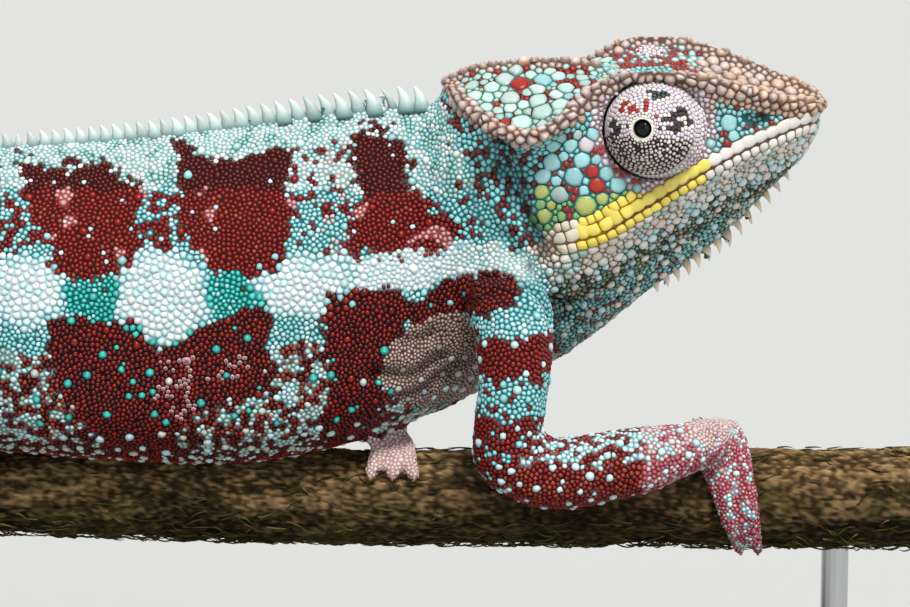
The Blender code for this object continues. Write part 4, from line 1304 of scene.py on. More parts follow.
def cells(place, every, every_radius, normal, radius, sides, neighbours=11):
    """Directions and rim of the scales at some places, out to where each meets its neighbours among all."""
    near = neighbours_of(place, every, neighbours)
    lean = np.where(np.abs(normal[:, :1]) < 0.9, [[1.0, 0, 0]], [[0, 0, 1.0]])
    t = unit(lean - (lean * normal).sum(1, keepdims=True) * normal)[:, None]
    b = np.cross(normal, t[:, 0])[:, None]
    d = every[near] - place[:, None]
    u, v = (d * t).sum(2), (d * b).sum(2)
    far = np.hypot(u, v) + 1e-9
    edge = np.linalg.norm(d, axis=2) * radius[:, None] / (radius[:, None] + every_radius[near])
    fine = circle(RIM_STEPS)
    reach = np.repeat((radius * np.where(radius > 0.5, *REACH))[:, None], RIM_STEPS, 1)
    for k in range(neighbours):
        one = slice(k, k + 1)
        cosine = (np.cos(fine) * u[:, one] + np.sin(fine) * v[:, one]) / far[:, one]
        beyond = edge[:, one] / np.maximum(cosine, ASIDE)
        reach = np.where(cosine > ASIDE, np.minimum(reach, beyond), reach)
    picks = np.arange(0, RIM_STEPS, RIM_STEPS // sides)
    shifts = range(RIM_STEPS // sides)
    areas = [(reach[:, picks + j] * np.roll(reach[:, picks + j], 1, 1)).sum(1) for j in shifts]
    best = picks[None] + np.argmax(areas, 0)[:, None]
    turn, reach = fine[best], np.take_along_axis(reach, best, 1) - CELL_GAP
    return turn, spokes(turn, t, b) * reach[..., None]


def laid(place, rim):
    """How far each rim point of the scales has to move to lie on the skin."""
    flat = (place[:, None] + rim).reshape(-1, 3)
    return (snapped(flat)[0] - flat).reshape(rim.shape)


PATCH = 0.0015  # radius of a scale's patch on the unwrap
KNOB = 0.62  # scales higher than this share of their radius stand on ridges as knobs
RINGS_SMALL = ((1.0, -0.25), (0.84, 0.55), (0.0, 1.0))
RINGS_BIG = ((1.0, -0.35), (0.9, 0.4), (0.64, 0.88), (0.0, 1.0))


def domes(place, normal, radius, height, colour, tone, shape, rings):
    """Points, faces and colours of many domed scales, each point's offset on the unwrap, and its scale."""
    turn, rim, drop = shape
    count, sides = turn.shape
    rise = radius * height
    knob = height > KNOB
    drop = drop * np.where(knob, 0.4, 1.0)[:, None, None]
    sunk = -0.12 - 0.25 * radius * knob
    # Each dome is coloured from rim to top: the rim ring in painted shade of the groove, the slope a little
    # darker as painted shade, and the top a painted highlight.
    edge, slope, tip = SHADES[colour].transpose(1, 0, 2)
    points, colours, patch = [], [], []
    for (share, up), shade in zip(rings[:-1], (edge, slope * 0.92, (slope + tip) / 2)):
        lift = sunk if up < 0 else up * rise
        points.append(place[:, None] + rim * share + drop * share**2 + (normal * lift[:, None])[:, None])
        colours.append(np.repeat(shade[:, None], sides, 1))
        patch.append(np.stack([np.cos(turn), np.sin(turn)], 2) * share)
    points.append((place + normal * rise[:, None])[:, None])
    # Flat plates get only part of the painted highlight on their top.
    top = np.where(height < 0.3, 0.55, 1.0)[:, None]
    colours.append((slope * (1 - top) + tip * top)[:, None])
    patch.append(np.zeros((count, 1, 2)))
    points, colours, patch = (np.concatenate(a, 1) for a in (points, colours, patch))
    each = points.shape[1]
    faces = np.concatenate([ring_faces(len(rings) - 1, sides), fan(each - 1 - sides, sides, each - 1)])
    faces = (faces + each * np.arange(count)[:, None, None]).reshape(-1, 3)
    places = np.repeat(np.arange(count), each)
    colours = (colours * tone[:, None, None]).reshape(-1, 3)
    return points.reshape(-1, 3), faces, colours, patch.reshape(-1, 2) * PATCH, places


# ---------------------------------------------------------------- the unwrap for the coat


UNWRAP_ANGLE, UNWRAP_MARGIN = 1.1, 0.008


class Unwrap:
    """An unwrap of some flesh solids, and where any point near them lies on it."""

    def __init__(self, nodes):
        points, faces = joined([(SOLIDS[node].points, SOLIDS[node].faces) for node in nodes])
        made = new_mesh("unwrap", points, faces)
        made.data.uv_layers.new(name="flat")
        bpy.context.view_layer.objects.active = made
        bpy.ops.object.mode_set(mode="EDIT")
        bpy.ops.mesh.select_all(action="SELECT")
        bpy.ops.uv.smart_project(angle_limit=UNWRAP_ANGLE, island_margin=UNWRAP_MARGIN)
        bpy.ops.object.mode_set(mode="OBJECT")
        self.uv = mesh_values(made.data.uv_layers["flat"].data, "uv", 2).reshape(-1, 3, 2)
        bpy.data.objects.remove(made)
        self.corners = points[faces]
        self.tree = search_tree(points, faces)

    def places(self, p):
        found = [self.tree.find_nearest(q) for q in p.tolist()]
        face = np.array([f[2] for f in found])
        a, b, c = self.corners[face].transpose(1, 0, 2)
        v0, v1, v2 = b - a, c - a, np.array([f[0] for f in found]) - a
        pairs = ((v0, v0), (v0, v1), (v1, v1), (v2, v0), (v2, v1))
        d00, d01, d11, d20, d21 = ((i * j).sum(1) for i, j in pairs)
        bottom = np.maximum(d00 * d11 - d01 * d01, 1e-12)
        v = np.clip((d11 * d20 - d01 * d21) / bottom, 0, 1)
        w = np.clip((d00 * d21 - d01 * d20) / bottom, 0, 1)
        return (self.uv[face] * np.stack([1 - v - w, v, w], 1)[..., None]).sum(1)


def add_bake_map(made, faces, per_point):
    """The unwrap of a coat piece, from the place of each of its points."""
    layer = made.data.uv_layers.new(name="OFBake")
    layer.data.foreach_set("uv", per_point[faces.ravel()].astype(np.float32).ravel())


# ---------------------------------------------------------------- the coat


# The solids of each coat piece, and the sign of Y if it has only the scales of one side.
REGIONS = {f"head_{side}": (["head"], sign) for side, sign in SIDES.items()}
REGIONS |= {"jaw": (["lower_jaw"], 0), "neck": (["neck"], 0)}
for region in ("trunk_front", "trunk_rear"):
    REGIONS |= {f"{region}_{side}": ([region], sign) for side, sign in SIDES.items()}
for region, end in LIMB_ENDS.items():
    REGIONS |= {
        f"{region}_{side}": ([f"{region}_{side}_upper", f"{region}_{side}_lower", f"{end}_{side}"], 0)
        for side in SIDES
    }
REGIONS["tail"] = (TAIL, 0)


def spaced_out(places, picked, apart):
    """Those of the picked places that keep their room to the ones before them."""
    spread, spaced = Room(TUBERCLE_CELL), []
    for i in picked:
        p = tuple(places[i])
        if spread.free(p, apart[i], 1.0):
            spread.put(p, apart[i])
            spaced.append(i)
    return spaced


def place_scales():
    """Place, normal, radius, height, colour number (or NO_COLOUR) of every scale, and whether it is fixed."""
    scales, rooms = Scales(), (Room(WIDE_CELL), Room(FINE_CELL))
    set_rows(scales, rooms[0])
    places, normals = random_places(PLACES)
    owner = owners(places)
    seen = ~hidden_places(places, normals)
    bump, apart = tubercles(places, owner), tubercle_room(places, owner)
    picked = np.flatnonzero((rng.random(PLACES) < TUBERCLE_TRIES) & (bump > 0) & seen)
    scatter(scales, places, normals, bump, spaced_out(places, picked, apart), rooms, TUBERCLE_HEIGHT)
    usual = scale_radius(places, owner) * (0.9 + 0.2 * rng.random(PLACES))
    skull = np.flatnonzero(in_nodes(owner, "head", "lower_jaw"))
    seen[skull[nearest_line(places[skull], MOUTH_LINES) < MOUTH_FREE]] = False
    order = np.flatnonzero(seen)
    order = order[np.argsort(-np.round(usual[order] * 8), kind="stable")]
    scatter(scales, places, normals, usual, order, rooms, SCALE_HEIGHT)
    place, normal, radius, *rest, fixed = scales.joined()
    return *settled(place, normal, radius, fixed), radius, *rest, fixed


def head_heights(place, owner, radius, height, fixed):
    """Heights of the scales, with flat plates on casque and cheek and knobs on crests and snout."""
    q = head_place(place)
    x = q[:, 0]
    skull = in_nodes(owner, "head")
    crest = np.full(len(place), np.inf)
    crest[skull] = nearest_line(place[skull], RIDGE_LINES)
    roof, plate = inside_crests(q), radius > 0.6
    for where, new in (
        (skull & (x < 54) & roof & (crest > 1.3), np.where(plate, 0.17, 0.26)),
        (skull & cheek_zone(q), np.where(plate, 0.2, 0.34)),
        (crest < 1.6, 0.5),
        (skull & (x > 66) & roof & (radius > 0.55), 0.62),
    ):
        height = np.where(where & ~fixed, new, height)
    return height


def make_scales(material):
    """All scales of the skin, in one coat piece for each region."""
    place, normal, radius, height, colour, fixed = place_scales()
    owner = owners(place)
    chance = rng.random(len(place))
    ink = Ink(chance, "turquoise")
    ink.ids = np.where(colour == NO_COLOUR, markings(place, owner, chance), colour)
    lighten_tubercles(ink, place, owner, (radius > 0.4) & ~fixed)
    colour_plates(ink, place, owner, radius > 0.5, fixed)
    height = head_heights(place, owner, radius, height, fixed)
    # Each scale's tone varies at random, and is darker as painted shade in the creases, the nostril pits and
    # the gaps between toes.
    tone = (0.7 + 0.24 * rng.random(len(place))) * (1 - 0.55 * np.clip(crease_depth(place), 0, 1))
    shapes = []
    for chosen, sides, rings in (
        (radius <= 0.4, 6, RINGS_SMALL),
        ((radius > 0.4) & (radius <= SMALL), 8, RINGS_SMALL),
        (radius > SMALL, 12, RINGS_BIG),
    ):
        turn, rim = cells(place[chosen], place, radius, normal[chosen], radius[chosen], sides)
        shapes.append((chosen, (turn, rim, laid(place[chosen], rim)), rings))
    side = np.sign(place[:, 1] + 1e-9)
    for name, (nodes, only) in REGIONS.items():
        mine = np.isin(owner, [FLESH.index(n) for n in nodes]) & (ink.ids >= 0)
        if only:
            mine &= side == only
        make_coat_piece(name, nodes, mine, (place, normal, radius, height, ink.ids, tone), shapes, material)


def colour_plates(ink, place, owner, large, fixed):
    """The plates of casque and cheek are pale, with dark red only in the small scales between."""
    q = head_place(place)
    x, _, z = q.T
    skull = in_nodes(owner, "head") & ~fixed
    casque = skull & large & (x < 55) & (z > 102) & (ink.ids == ID["brick"])  # few of them stay red
    ink(casque, "pearl", above=0.08)
    ink(casque, "mint", above=0.08, below=0.6)
    cheek = skull & cheek_zone(q)
    low = cheek & (z < 94.5 - 0.12 * (x - 50) + 1.5 * (ink.chance - 0.5))
    high = cheek & ~low
    ink(large & low, "sky")
    ink(large & low, "lime", below=0.75)
    ink(large & low, "leaf", below=0.4)
    ink(large & high, "pearl")
    ink(large & high, "sky", below=0.7)
    red = np.zeros(len(place), bool)
    red[cheek] = wobble(place[cheek], 1.3, 44) < -0.05
    ink(~large & red, "brick")
    ink(~large & low & ~red, "leaf")


def lighten_tubercles(ink, place, owner, large):
    """The big scales scattered in dark markings are turquoise, green or white."""
    height = place[:, 2]
    large = large & ~in_nodes(owner, "head", "neck")
    dark = np.isin(ink.ids, [ID[name] for name in ("maroon", "deep", "rust", "magenta", "pink")])
    trunk = large & in_nodes(owner, "trunk")
    ink(trunk & dark & (height < 76), "teal", below=0.75)
    ink(trunk & dark & (height >= 76), "sky", below=0.2)
    ink(large & ~trunk & dark & (height <= 75), "ice")
    belly = trunk & (height < 70) & (~dark | (height < 62))
    ink(belly, "ice")
    ink(belly, "bone", below=0.5)
    jaw = large & in_nodes(owner, "lower_jaw")
    ink(jaw, "ice")
    ink(jaw, "ivory", below=0.5)


def make_coat_piece(name, nodes, mine, data, shapes, material):
    """One coat piece from the scales of its region."""
    unwrap = Unwrap(nodes)
    parts, colours, uv = [], [], []
    for chosen, shape, rings in shapes:
        wanted = mine & chosen
        if wanted.any():
            few = [values[wanted] for values in data]
            points, faces, shades, patch, places = domes(*few, [a[wanted[chosen]] for a in shape], rings)
            parts.append((points, faces))
            colours.append(shades)
            uv.append(unwrap.places(few[0])[places] + patch)
    points, faces = joined(parts)
    slot = "head_skin" if nodes[0] in ("head", "lower_jaw") else "skin"
    made = make_piece(f"scales_{name}", points, faces, material, slot, colours=np.concatenate(colours))
    add_bake_map(made, faces, np.concatenate(uv))


def make_skin_piece(material):
    """The skin under the scales, with their markings in the rim colours and darker still, as painted shade
    between the scales.
    """
    colour = markings(SKIN, owners(SKIN), np.full(len(SKIN), 0.5))
    make_piece("skin", SKIN, QUADS, material, "skin", *FLESH, colours=SHADES[colour, 0] * 0.85)


# ---------------------------------------------------------------- spines and claws


RIDGE = 0.06  # relief of the ridges along a cone, as a share of its width


def cone(path, widths, sides, flat, across):
    """Points and faces of a ridged, curved cone along a path; flat is its depth as a share of its width."""
    turn = circle(sides)
    ridges = 1 + RIDGE * (-1.0) ** np.arange(sides)
    rings = []
    for middle, along, width in zip(path[:-1], unit(np.gradient(path, axis=0)), widths):
        u = unit(across - (across @ along) * along)
        v = np.cross(along, u)
        wave = width * ridges
        rings.append(middle + np.outer(np.cos(turn) * wave, v) + np.outer(np.sin(turn) * wave * flat, u))
    count = len(rings)
    foot = [(0, i + 1, i) for i in range(1, sides - 1)]
    faces = [ring_faces(count, sides), fan((count - 1) * sides, sides, count * sides), foot]
    return np.concatenate([*rings, path[-1:]]), np.concatenate(faces)


def per_ring(values, sides):
    """The values of a cone's rings for each of its points, and the last one for its tip."""
    return np.append(np.repeat(values[:-1], sides), values[-1])


def spine_tips():
    """Tip, foot and width of each spine of the frame: a point whose edges all run the same way."""
    found = []
    for node in BODY:
        for tip, run in zip(SOLIDS[node].points, SOLIDS[node].edges):
            if len(run) < 4 or np.linalg.norm(unit(run).mean(0)) < 0.82:
                continue
            foot = tip + np.median(run, axis=0)
            if np.linalg.norm(tip - foot) > 0.7:
                found.append((tip, foot, np.ptp(run[:, 0]) / 2))
    return found


# Colours at foot and tip.
BACK_SPINE = linear([(96, 146, 142), (208, 222, 218)])
THROAT_SPINE = linear([(168, 146, 124), (244, 228, 204)])


def make_spines():
    """The crest of the back and the beard of the throat, over the frame's plain spines."""
    material = painted_material("horn", 0.5, mottle=0.12, grain=1500.0, bump=0.3)
    run, sides = np.linspace(0, 1, 9), 10
    t = run[:, None]
    upward = per_ring(run, sides)[:, None]
    parts, colours = [], []
    for tip, foot, width in spine_tips():
        root = snapped([foot])[0][0]
        if tip[2] < root[2]:
            tip = root + (tip - root) * 0.82
        out = unit(tip - root)
        lean = np.array([-1.0, 0, 0]) + out[0] * out
        bend = lean * 0.4 * np.linalg.norm(tip - root)
        path = (root - out * 0.5) * (1 - t) + tip * t - bend * (t * (1 - t)) * 1.2
        widths = np.interp(run, [0, 0.3, 0.65, 1], [1.0, 0.8, 0.42, 0.06]) * np.clip(width * 1.4, 0.6, 1.25)
        parts.append(cone(path, widths, sides, 0.72, np.array([0, 1.0, 0])))
        low, high = THROAT_SPINE if out[2] < 0 else BACK_SPINE
        # The colour runs from the spine's own foot colour to its tip colour, and the lowest third is darkened
        # as painted shade where the spine meets the skin.
        tone = (low + (high - low) * np.clip(upward * 1.5, 0, 1)) * (0.5 + 0.5 * np.clip(upward * 3, 0, 1))
        colours.append(tone * rng.uniform(0.72, 1.08))
    make_piece("spines", *joined(parts), material, "skin", colours=np.concatenate(colours))


CLAW = linear((150, 118, 92))


def make_claws():
    """Hooked claws in place of the frame's plain ones."""
    material = painted_material("claw", 0.32, mottle=0.15, grain=1200.0, bump=0.2)
    run, sides = np.linspace(0, 1, 9), 10
    t = run[:, None]
    widths = np.interp(run, [0, 0.3, 0.7, 1], [0.42, 0.34, 0.17, 0.03])
    parts = []
    for root, tip, out in CLAWS.values():
        radial = unit(np.array([0, root[1], root[2] - branch_at(tip[0])[0]]))
        bow = radial - (radial @ out) * out
        path = root * (1 - t) + tip * t + bow * 0.8 * t * (1 - t) * np.linalg.norm(tip - root) * 0.6
        path[0] -= out * 1.2
        parts.append(cone(path, widths, sides, 0.8, np.cross(out, unit(bow + 1e-6))))
    shade = np.interp(per_ring(run, sides), [0, 0.4, 1], [0.7, 1.0, 0.5])[:, None] * CLAW
    make_piece("claws", *joined(parts), material, "claw", *CLAWS, colours=np.tile(shade, (len(CLAWS), 1)))


# ---------------------------------------------------------------- eyes


# Radius of the turret as a share of the eye's, by the angle from the gaze.
TURRET_FRONT = [
    (11.5, 1.045), (15.5, 1.05), (30.6, 1.02), (54.5, 0.983), (74.1, 0.988),
    (86.0, 0.995), (94.0, 1.02), (102.0, 1.085), (112.0, 1.1), (150.0, 1.0),
]


def turret_point(eye, away, turn, lift=0.0):
    """Points of the turret: away is the angle from the gaze, turn runs round it from forward over up."""
    share = profile(away, TURRET_FRONT)
    fold = np.sin((away - 66) * math.pi / 8) * smooth_step(away, 62, 70)
    share = share + 0.018 * fold * (0.55 + 0.45 * np.cos(np.radians(turn + 25)))
    r = (eye.radius * share + lift)[..., None]
    a = np.radians(away)[..., None]
    out = spokes(np.radians(turn), eye.forward, eye.up)
    return eye.middle + np.cos(a) * eye.axis * r + np.sin(a) * out * r


LID_SPOTS = [  # turn from forward over up, angle from the gaze, half widths of both, colour
    (178, 30, 9, 22, "dusk"),
    (190, 40, 8, 12, "dusk"),
    (2, 32, 7, 18, "dusk"),
    (27, 44, 6, 20, "dusk"),
    (12, 52, 5, 12, "dusk"),
    (208, 44, 9, 10, "dusk"),
    (134, 38, 13, 12, "brick"),
    (116, 26, 9, 6, "brick"),
    (84, 27, 9, 8, "brick"),
    (50, 20, 8, 3, "brick"),
    (72, 47, 9, 6, "pine"),
    (62, 56, 8, 4, "pine"),
    (88, 53, 6, 4, "pine"),
]


def turret_colour(away, turn, chance):
    """Colours of the eyelid: pale above, brown with pale beads below, dark bars beside the pupil."""
    ahead, up = away * np.cos(np.radians(turn)), away * np.sin(np.radians(turn))
    ragged = 1.3 * wobble(np.stack([ahead, up, 0 * turn], 1), 3.0, 81)
    ink = Ink(chance, "ivory")
    ink(True, "lilac", below=0.8)
    for middle, far, wide, deep, name in LID_SPOTS:
        off = np.abs(np.mod(turn - middle + 180, 360) - 180) / wide
        spot = off**2 + ((away - far) / deep) ** 2 < 1.3 + ragged
        ink(spot, name, below=0.6 if name == "brick" else 0.84)
    below = np.sin(np.radians(turn)) * np.minimum(away, 90)
    lower = (below < -7 - 0.1 * away) & span(away, 14, 72)
    ink(lower, "bead", below=0.9)
    ink(lower, "dusk", below=0.08)
    ink(away < 15.2, "ivory")
    return ink.ids


TURRET_STEPS = [11.6, 13, 15, 18, 24, 30, 38, 46, 54, *np.arange(60, 124, 2.5), 135, 150]
# Rings inside the opening of the lids: radius, and place along the gaze in radii of the eye.
OPENING = [(1.12, 0.8), (1.16, 0.95), (1.24, 1.015)]


LID_DEPTH = 0.12  # how far the lids lie inside their solid
LID_EDGE, LID_RIM, LID_SCALES_TO = 12.0, 14.6, 120.0  # angles from the gaze


def make_turret(eye, skin_material, scale_material):
    """The lids of one eye: a smooth lathed form with rings of flat scales on it."""
    sides = 72
    away, turn = np.meshgrid(TURRET_STEPS, np.arange(sides) * 360.0 / sides, indexing="ij")
    ring = spokes(np.radians(turn[0]), eye.forward, eye.up)
    inner = [eye.middle + eye.axis * eye.radius * along + radius * ring for radius, along in OPENING]
    outer = turret_point(eye, away, turn, -LID_DEPTH).reshape(-1, 3)
    points = np.concatenate([*inner, outer, [eye.middle - eye.axis * eye.radius]])
    rings = len(inner) + len(away)
    faces = np.concatenate([ring_faces(rings, sides), fan((rings - 1) * sides, sides, rings * sides)])
    all_away = np.concatenate([np.full(len(inner) * sides, LID_EDGE), away.ravel(), [180.0]])
    all_turn = np.concatenate([np.tile(turn[0], len(inner)), turn.ravel(), [0.0]])
    # The lid skin takes the rim colour of its markings, dark as painted shade between the lid scales.
    shade = SHADES[turret_colour(all_away, all_turn, np.full(len(points), 0.5)), 0]
    shade[all_away < LID_RIM] = SHADES[ID["ivory"], 1]
    # The two deepest rings inside the opening are darkened almost to black as painted shade in the recess.
    shade[: 2 * sides] *= 0.1
    turret = f"eye_turret_{eye.side}"
    make_piece(f"lids_{eye.side}", points, faces, skin_material, "eye_skin", turret, colours=shade)
    make_lid_scales(eye, scale_material)


def lid_places(eye):
    """Angle from the gaze, turn and radius of the lid's scales, in rings that grow wider."""
    spots, away = [], LID_RIM
    while away < LID_SCALES_TO:
        size = np.interp(away, [12, 20, 50, 80, 104], [0.15, 0.27, 0.35, 0.3, 0.3])
        around = 2 * math.pi * eye.radius * math.sin(math.radians(away))
        count = max(8, round(around / (size * 1.9)))
        turns = (np.arange(count) + rng.random()) * 360.0 / count
        spots.append(np.stack([away + 0.8 * rng.standard_normal(count), turns, np.full(count, size)], 1))
        away += math.degrees(size * 1.72 / eye.radius)
    return np.concatenate(spots).T


def make_lid_scales(eye, material):
    """Rings of small scales on the lids, with pale beads below."""
    away, turn, size = lid_places(eye)
    place = turret_point(eye, away, turn, -0.1)
    ahead = turret_point(eye, away + 1.0, turn, -0.1)
    beside = turret_point(eye, away, turn + 1.0, -0.1)
    normal = unit(np.cross(ahead - place, beside - place))
    normal *= np.sign(((place - eye.middle) * normal).sum(1, keepdims=True))
    colour = turret_colour(away, turn, rng.random(len(place)))
    bead = colour == ID["bead"]
    turned, rim = cells(place, place, size, normal, size, 8)
    rim = rim * np.where(bead, 0.86, 1.0)[:, None, None]
    tone = 0.76 + 0.2 * rng.random(len(place))
    shape = (turned, rim, np.zeros(rim.shape))
    data = (place, normal, size, np.where(bead, 0.6, 0.3), colour, tone)
    points, faces, colours, patch, places = domes(*data, shape, RINGS_BIG)
    made = make_piece(f"lid_scales_{eye.side}", points, faces, material, "eye_skin", colours=colours)
    around = np.radians(turn)
    flat = np.stack([np.cos(around), np.sin(around)], 1) * (away / 260.0)[:, None] + 0.5
    add_bake_map(made, faces, flat[places] + patch)


BALL_RADIUS = 1.45


def make_eyeball(eye):
    """The glossy ball behind the opening, black with a thin brown ring."""
    material, tree, shader = new_material(f"eyeball_{eye.side}", 0.06, Specular_IOR_Level=0.35)
    place = add_node(tree, "ShaderNodeAttribute", attribute_name="Ring")
    ramp = ramp_node(tree, (0.84, (0.003, 0.003, 0.004)), (0.93, (0.16, 0.06, 0.02)))
    wire(tree, (place, "Fac", ramp, "Fac"), (ramp, "Color", shader, "Base Color"))
    sides, rings, radius = 40, 12, BALL_RADIUS
    middle = eye.middle + eye.axis * (eye.radius * 0.985 - radius)
    out = spokes(circle(sides), eye.forward, eye.up)
    angle = np.linspace(0, math.radians(110), rings + 1)[1:]
    points = [[middle + eye.axis * radius]]
    points += [middle + eye.axis * radius * math.cos(a) + out * radius * math.sin(a) for a in angle]
    points.append([middle - eye.axis * radius * 0.4])
    front, back = fan(1, sides, 0), fan(1 + (rings - 1) * sides, sides, 1 + rings * sides)
    faces = [front, ring_faces(rings, sides, 1)[:, ::-1], back[:, ::-1]]
    points, faces = np.concatenate(points), np.concatenate(faces)
    made = make_piece(f"eye_{eye.side}", points, faces, material, "eyeball", f"eyeball_{eye.side}")
    ring = made.data.attributes.new("Ring", "FLOAT", "POINT")
    values = np.concatenate([[0], np.repeat(np.sin(angle), sides), [1]])
    ring.data.foreach_set("value", values.astype(np.float32))


# ---------------------------------------------------------------- branch and stand


BARK_DARK, BARK, BARK_PALE = linear([(10, 8, 4), (56, 43, 24), (138, 112, 78)])
MOSS = linear((52, 56, 22))
CUT_WOOD = linear((150, 118, 80))


def make_branch():
    """The branch: fibrous bark, twisted a little."""
    material = painted_material("bark", 0.95, mottle=0.5, grain=700.0, bump=1.2, Specular_IOR_Level=0.1)
    count, sides = ((620, 132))
    x, a = np.meshgrid(np.linspace(PERCH[0][0], PERCH[0][-1], count), circle(sides), indexing="ij")
    twist = a + x * 0.018
    flow = np.stack([x * 0.16, np.cos(twist) * 6.5, np.sin(twist) * 6.5], 2).reshape(-1, 3)
    around = np.stack([x, np.cos(a) * 6, np.sin(a) * 6], 2).reshape(-1, 3)
    broad, fine = wobble(flow, 2.6, 61), np.abs(wobble(flow * (1.5, 1, 1), 0.9, 62))
    finest = wobble(flow * (2.2, 1, 1), 0.32, 63)
    knots, grit = wobble(around, 7.0, 64), wobble(around, 0.9, 65)
    relief = (0.34 * broad + 0.36 * fine + 0.2 * finest + 0.5 * knots + 0.14 * grit).reshape(x.shape) - 0.15
    height, radius = branch_at(x)
    r = radius + relief
    points = np.stack([x, r * np.cos(a), height + r * np.sin(a)], 2)
    ends = [points[0].mean(0), points[-1].mean(0)]
    points = np.concatenate([points.reshape(-1, 3), ends])
    rear, front = count * sides, count * sides + 1
    caps = [fan(0, sides, rear), fan(rear - sides, sides, front)[:, ::-1]]
    faces = np.concatenate([ring_faces(count, sides)[:, ::-1], *caps])
    light = np.clip(0.42 + 0.55 * fine + 0.5 * finest + 0.25 * broad + 0.3 * grit, 0, 1)[:, None]
    low, high = BARK_DARK + (BARK - BARK_DARK) * light * 2, BARK + (BARK_PALE - BARK) * (light * 2 - 1)
    tone = np.where(light < 0.5, low, high)
    # The bark is made lighter on top and darker underneath as painted light and shade; the knots vary its
    # tone.
    tone = tone * (1.0 + 0.6 * np.sin(a + 0.4) + 0.4 * knots.reshape(a.shape)).reshape(-1, 1)
    moss = 0.5 * wobble(around, 5.0, 66) + 0.4 * grit - 0.05 - 0.3 * np.sin(a).ravel()
    moss = np.clip(moss, 0, 0.7)[:, None]
    tone = np.concatenate([tone * (1 - moss) + MOSS * moss, [CUT_WOOD, CUT_WOOD]])
    make_piece("branch", points, faces, material, "bark", "perch", colours=tone)


FIBRES = linear([(58, 46, 26), (104, 84, 54), (52, 56, 24), (84, 82, 40)])


def make_fibres():
    """Loose bark fibres and moss hairs, most of them along the underside of the branch."""
    material = painted_material("fibre", 0.95, mottle=0.3, Specular_IOR_Level=0.1)
    count, t = 2200, np.linspace(0, 1, 5)
    x = rng.uniform(PERCH[0][0] + 3, PERCH[0][-1] - 3, count)
    a = np.where(rng.random(count) < 0.6, rng.normal(-1.6, 0.7, count), rng.uniform(0, 2 * math.pi, count))
    length = rng.uniform(1.2, 4.2, count)
    lean = rng.choice([-1.0, 1.0], count)
    along = lean[:, None] * length[:, None] * t * rng.uniform(0.6, 1.0, count)[:, None]
    under = 0.25 + 0.75 * smooth_step(-np.sin(a), 0.2, 0.9)
    lift = (rng.uniform(0.1, 0.45, count) * under)[:, None]
    lift = lift * np.sin(t * rng.uniform(1.6, 3.1, count)[:, None])
    swing = a[:, None] + rng.uniform(-0.35, 0.35, count)[:, None] * t**2
    px = x[:, None] + along
    height, radius = branch_at(px)
    r = radius + 0.1 + lift
    middle = np.stack([px, r * np.cos(swing), height + r * np.sin(swing)], 2)
    width = np.array([0.12, 0.14, 0.12, 0.08, 0.02])[:, None]
    out = np.stack([0 * px, np.cos(swing), np.sin(swing)], 2) * width
    side = np.stack([0 * px, -np.sin(swing), np.cos(swing)], 2) * width
    rings = np.stack([middle + out, middle - out * 0.5 + side * 0.87, middle - out * 0.5 - side * 0.87], 2)
    k, after = np.arange(3), (np.arange(3) + 1) % 3
    faces = np.stack([k, after, after + 3, k + 3], 1) + 3 * np.arange(len(t) - 1)[:, None, None]
    each = 3 * len(t)
    faces = (faces.reshape(-1, 4) + each * np.arange(count)[:, None, None]).reshape(-1, 4)
    tints = FIBRES[rng.integers(0, 4, count)] * rng.uniform(0.5, 1.1, (count, 1))
    make_piece("fibres", rings.reshape(-1, 3), faces, material, "bark", colours=np.repeat(tints, each, 0))


def stain_base():
    """Dark-stained wood for the base of the stand, brushed steel for its rods."""
    wood, tree, shader = new_material("stained_wood", 0.35, Coat_Weight=0.3)
    grain = noise_node(tree, stretch=(12.0, 160.0, 160.0), Scale=2.2, Detail=6.0, Distortion=0.6)
    ramp = ramp_node(tree, (0.0, (0.012, 0.006, 0.004)), (1.0, (0.09, 0.042, 0.02)))
    wire(tree, (grain, "Fac", ramp, "Fac"), (ramp, "Color", shader, "Base Color"))
    steel, tree, shader = new_material("brushed_steel", 0.3, Metallic=1.0, Base_Color=(0.55, 0.55, 0.57, 1))
    scratch = noise_node(tree, stretch=(4000.0, 4000.0, 60.0), Scale=1.0, Detail=2.0)
    relief = add_node(tree, "ShaderNodeBump", Strength=0.15, Distance=0.0001)
    wire(tree, (scratch, "Fac", relief, "Height"), (relief, "Normal", shader, "Normal"))
    for node, material in (("stand_base", wood), ("stand_rod_rear", steel), ("stand_rod_front", steel)):
        mesh = frame["nodes"][node].data
        mesh.materials.clear()
        mesh.materials.append(material)


# ---------------------------------------------------------------- studio


def make_floor():
    """A wide pale floor, round so that no view shows a corner of it."""
    sides, radius = 64, 9.0 / MM
    rim = spokes(circle(sides), np.array([radius, 0, 0]), np.array([0, radius, 0]))
    floor = new_mesh("floor", np.concatenate([rim, [[0, 0, 0]]]), fan(0, sides, sides), smooth=False)
    material, _, _ = new_material("paper", 0.95, Specular_IOR_Level=0.1, Base_Color=(0.5, 0.51, 0.5, 1))
    floor.data.materials.append(material)


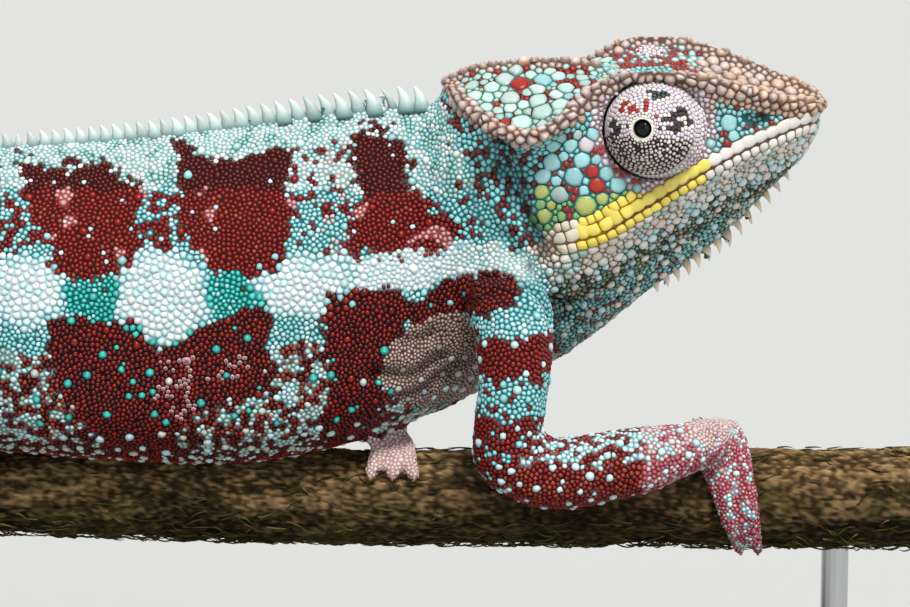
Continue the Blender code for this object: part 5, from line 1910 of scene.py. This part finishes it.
def add_sun(name, heading, power, softness, colour=(1, 1, 1)):
    """A soft light from far away; heading is the way it shines, softness its width in degrees."""
    data = bpy.data.lights.new(name, "SUN")
    data.energy, data.angle, data.color = power, math.radians(softness), colour
    light = bpy.data.objects.new(name, data)
    light.rotation_euler = Vector(heading).to_track_quat("-Z", "Y").to_euler()
    bpy.context.scene.collection.objects.link(light)


def make_studio():
    make_floor()
    world = bpy.data.worlds.new("studio")
    world.use_nodes = True
    background = world.node_tree.nodes["Background"]
    background.inputs["Color"].default_value = (0.93, 0.96, 1.0, 1)
    background.inputs["Strength"].default_value = 0.42
    scene = bpy.context.scene
    scene.world = world
    add_sun("key", (-0.14, 0.5, -0.86), 3.7, 16, (1.0, 0.975, 0.94))
    add_sun("fill", (-0.45, 0.85, -0.12), 0.75, 60, (0.95, 0.98, 1.0))
    add_sun("back", (0.1, -0.8, -0.5), 0.5, 40)
    scene.view_settings.view_transform = "Standard"
    scene.view_settings.look = "None"


def make_camera():
    data = bpy.data.cameras.new("camera")
    data.lens, data.sensor_width = CAMERA_LENS, CAMERA_SENSOR
    camera = bpy.data.objects.new("camera", data)
    up = math.radians(CAMERA_ELEVATION)
    aim = Vector(CAMERA_TARGET) * MM
    camera.location = aim + Vector((0, -math.cos(up), math.sin(up))) * CAMERA_DISTANCE * MM
    camera.rotation_euler = (aim - camera.location).to_track_quat("-Z", "Y").to_euler()
    data.clip_start, data.clip_end = 0.01, 10.0
    bpy.context.scene.collection.objects.link(camera)
    bpy.context.scene.camera = camera


def build():
    skin_material = painted_material("skin_between_scales", 0.75, mottle=0.2, Specular_IOR_Level=0.15)
    gloss = {"Specular_IOR_Level": 0.3}
    scale_material = painted_material("scales", 0.32, mottle=0.14, grain=2200.0, bump=0.3, **gloss)
    make_skin_piece(skin_material)
    make_scales(scale_material)
    make_spines()
    make_claws()
    for eye in EYES:
        make_turret(eye, skin_material, scale_material)
        make_eyeball(eye)
    make_branch()
    make_fibres()
    stain_base()
    make_studio()
    make_camera()


build()
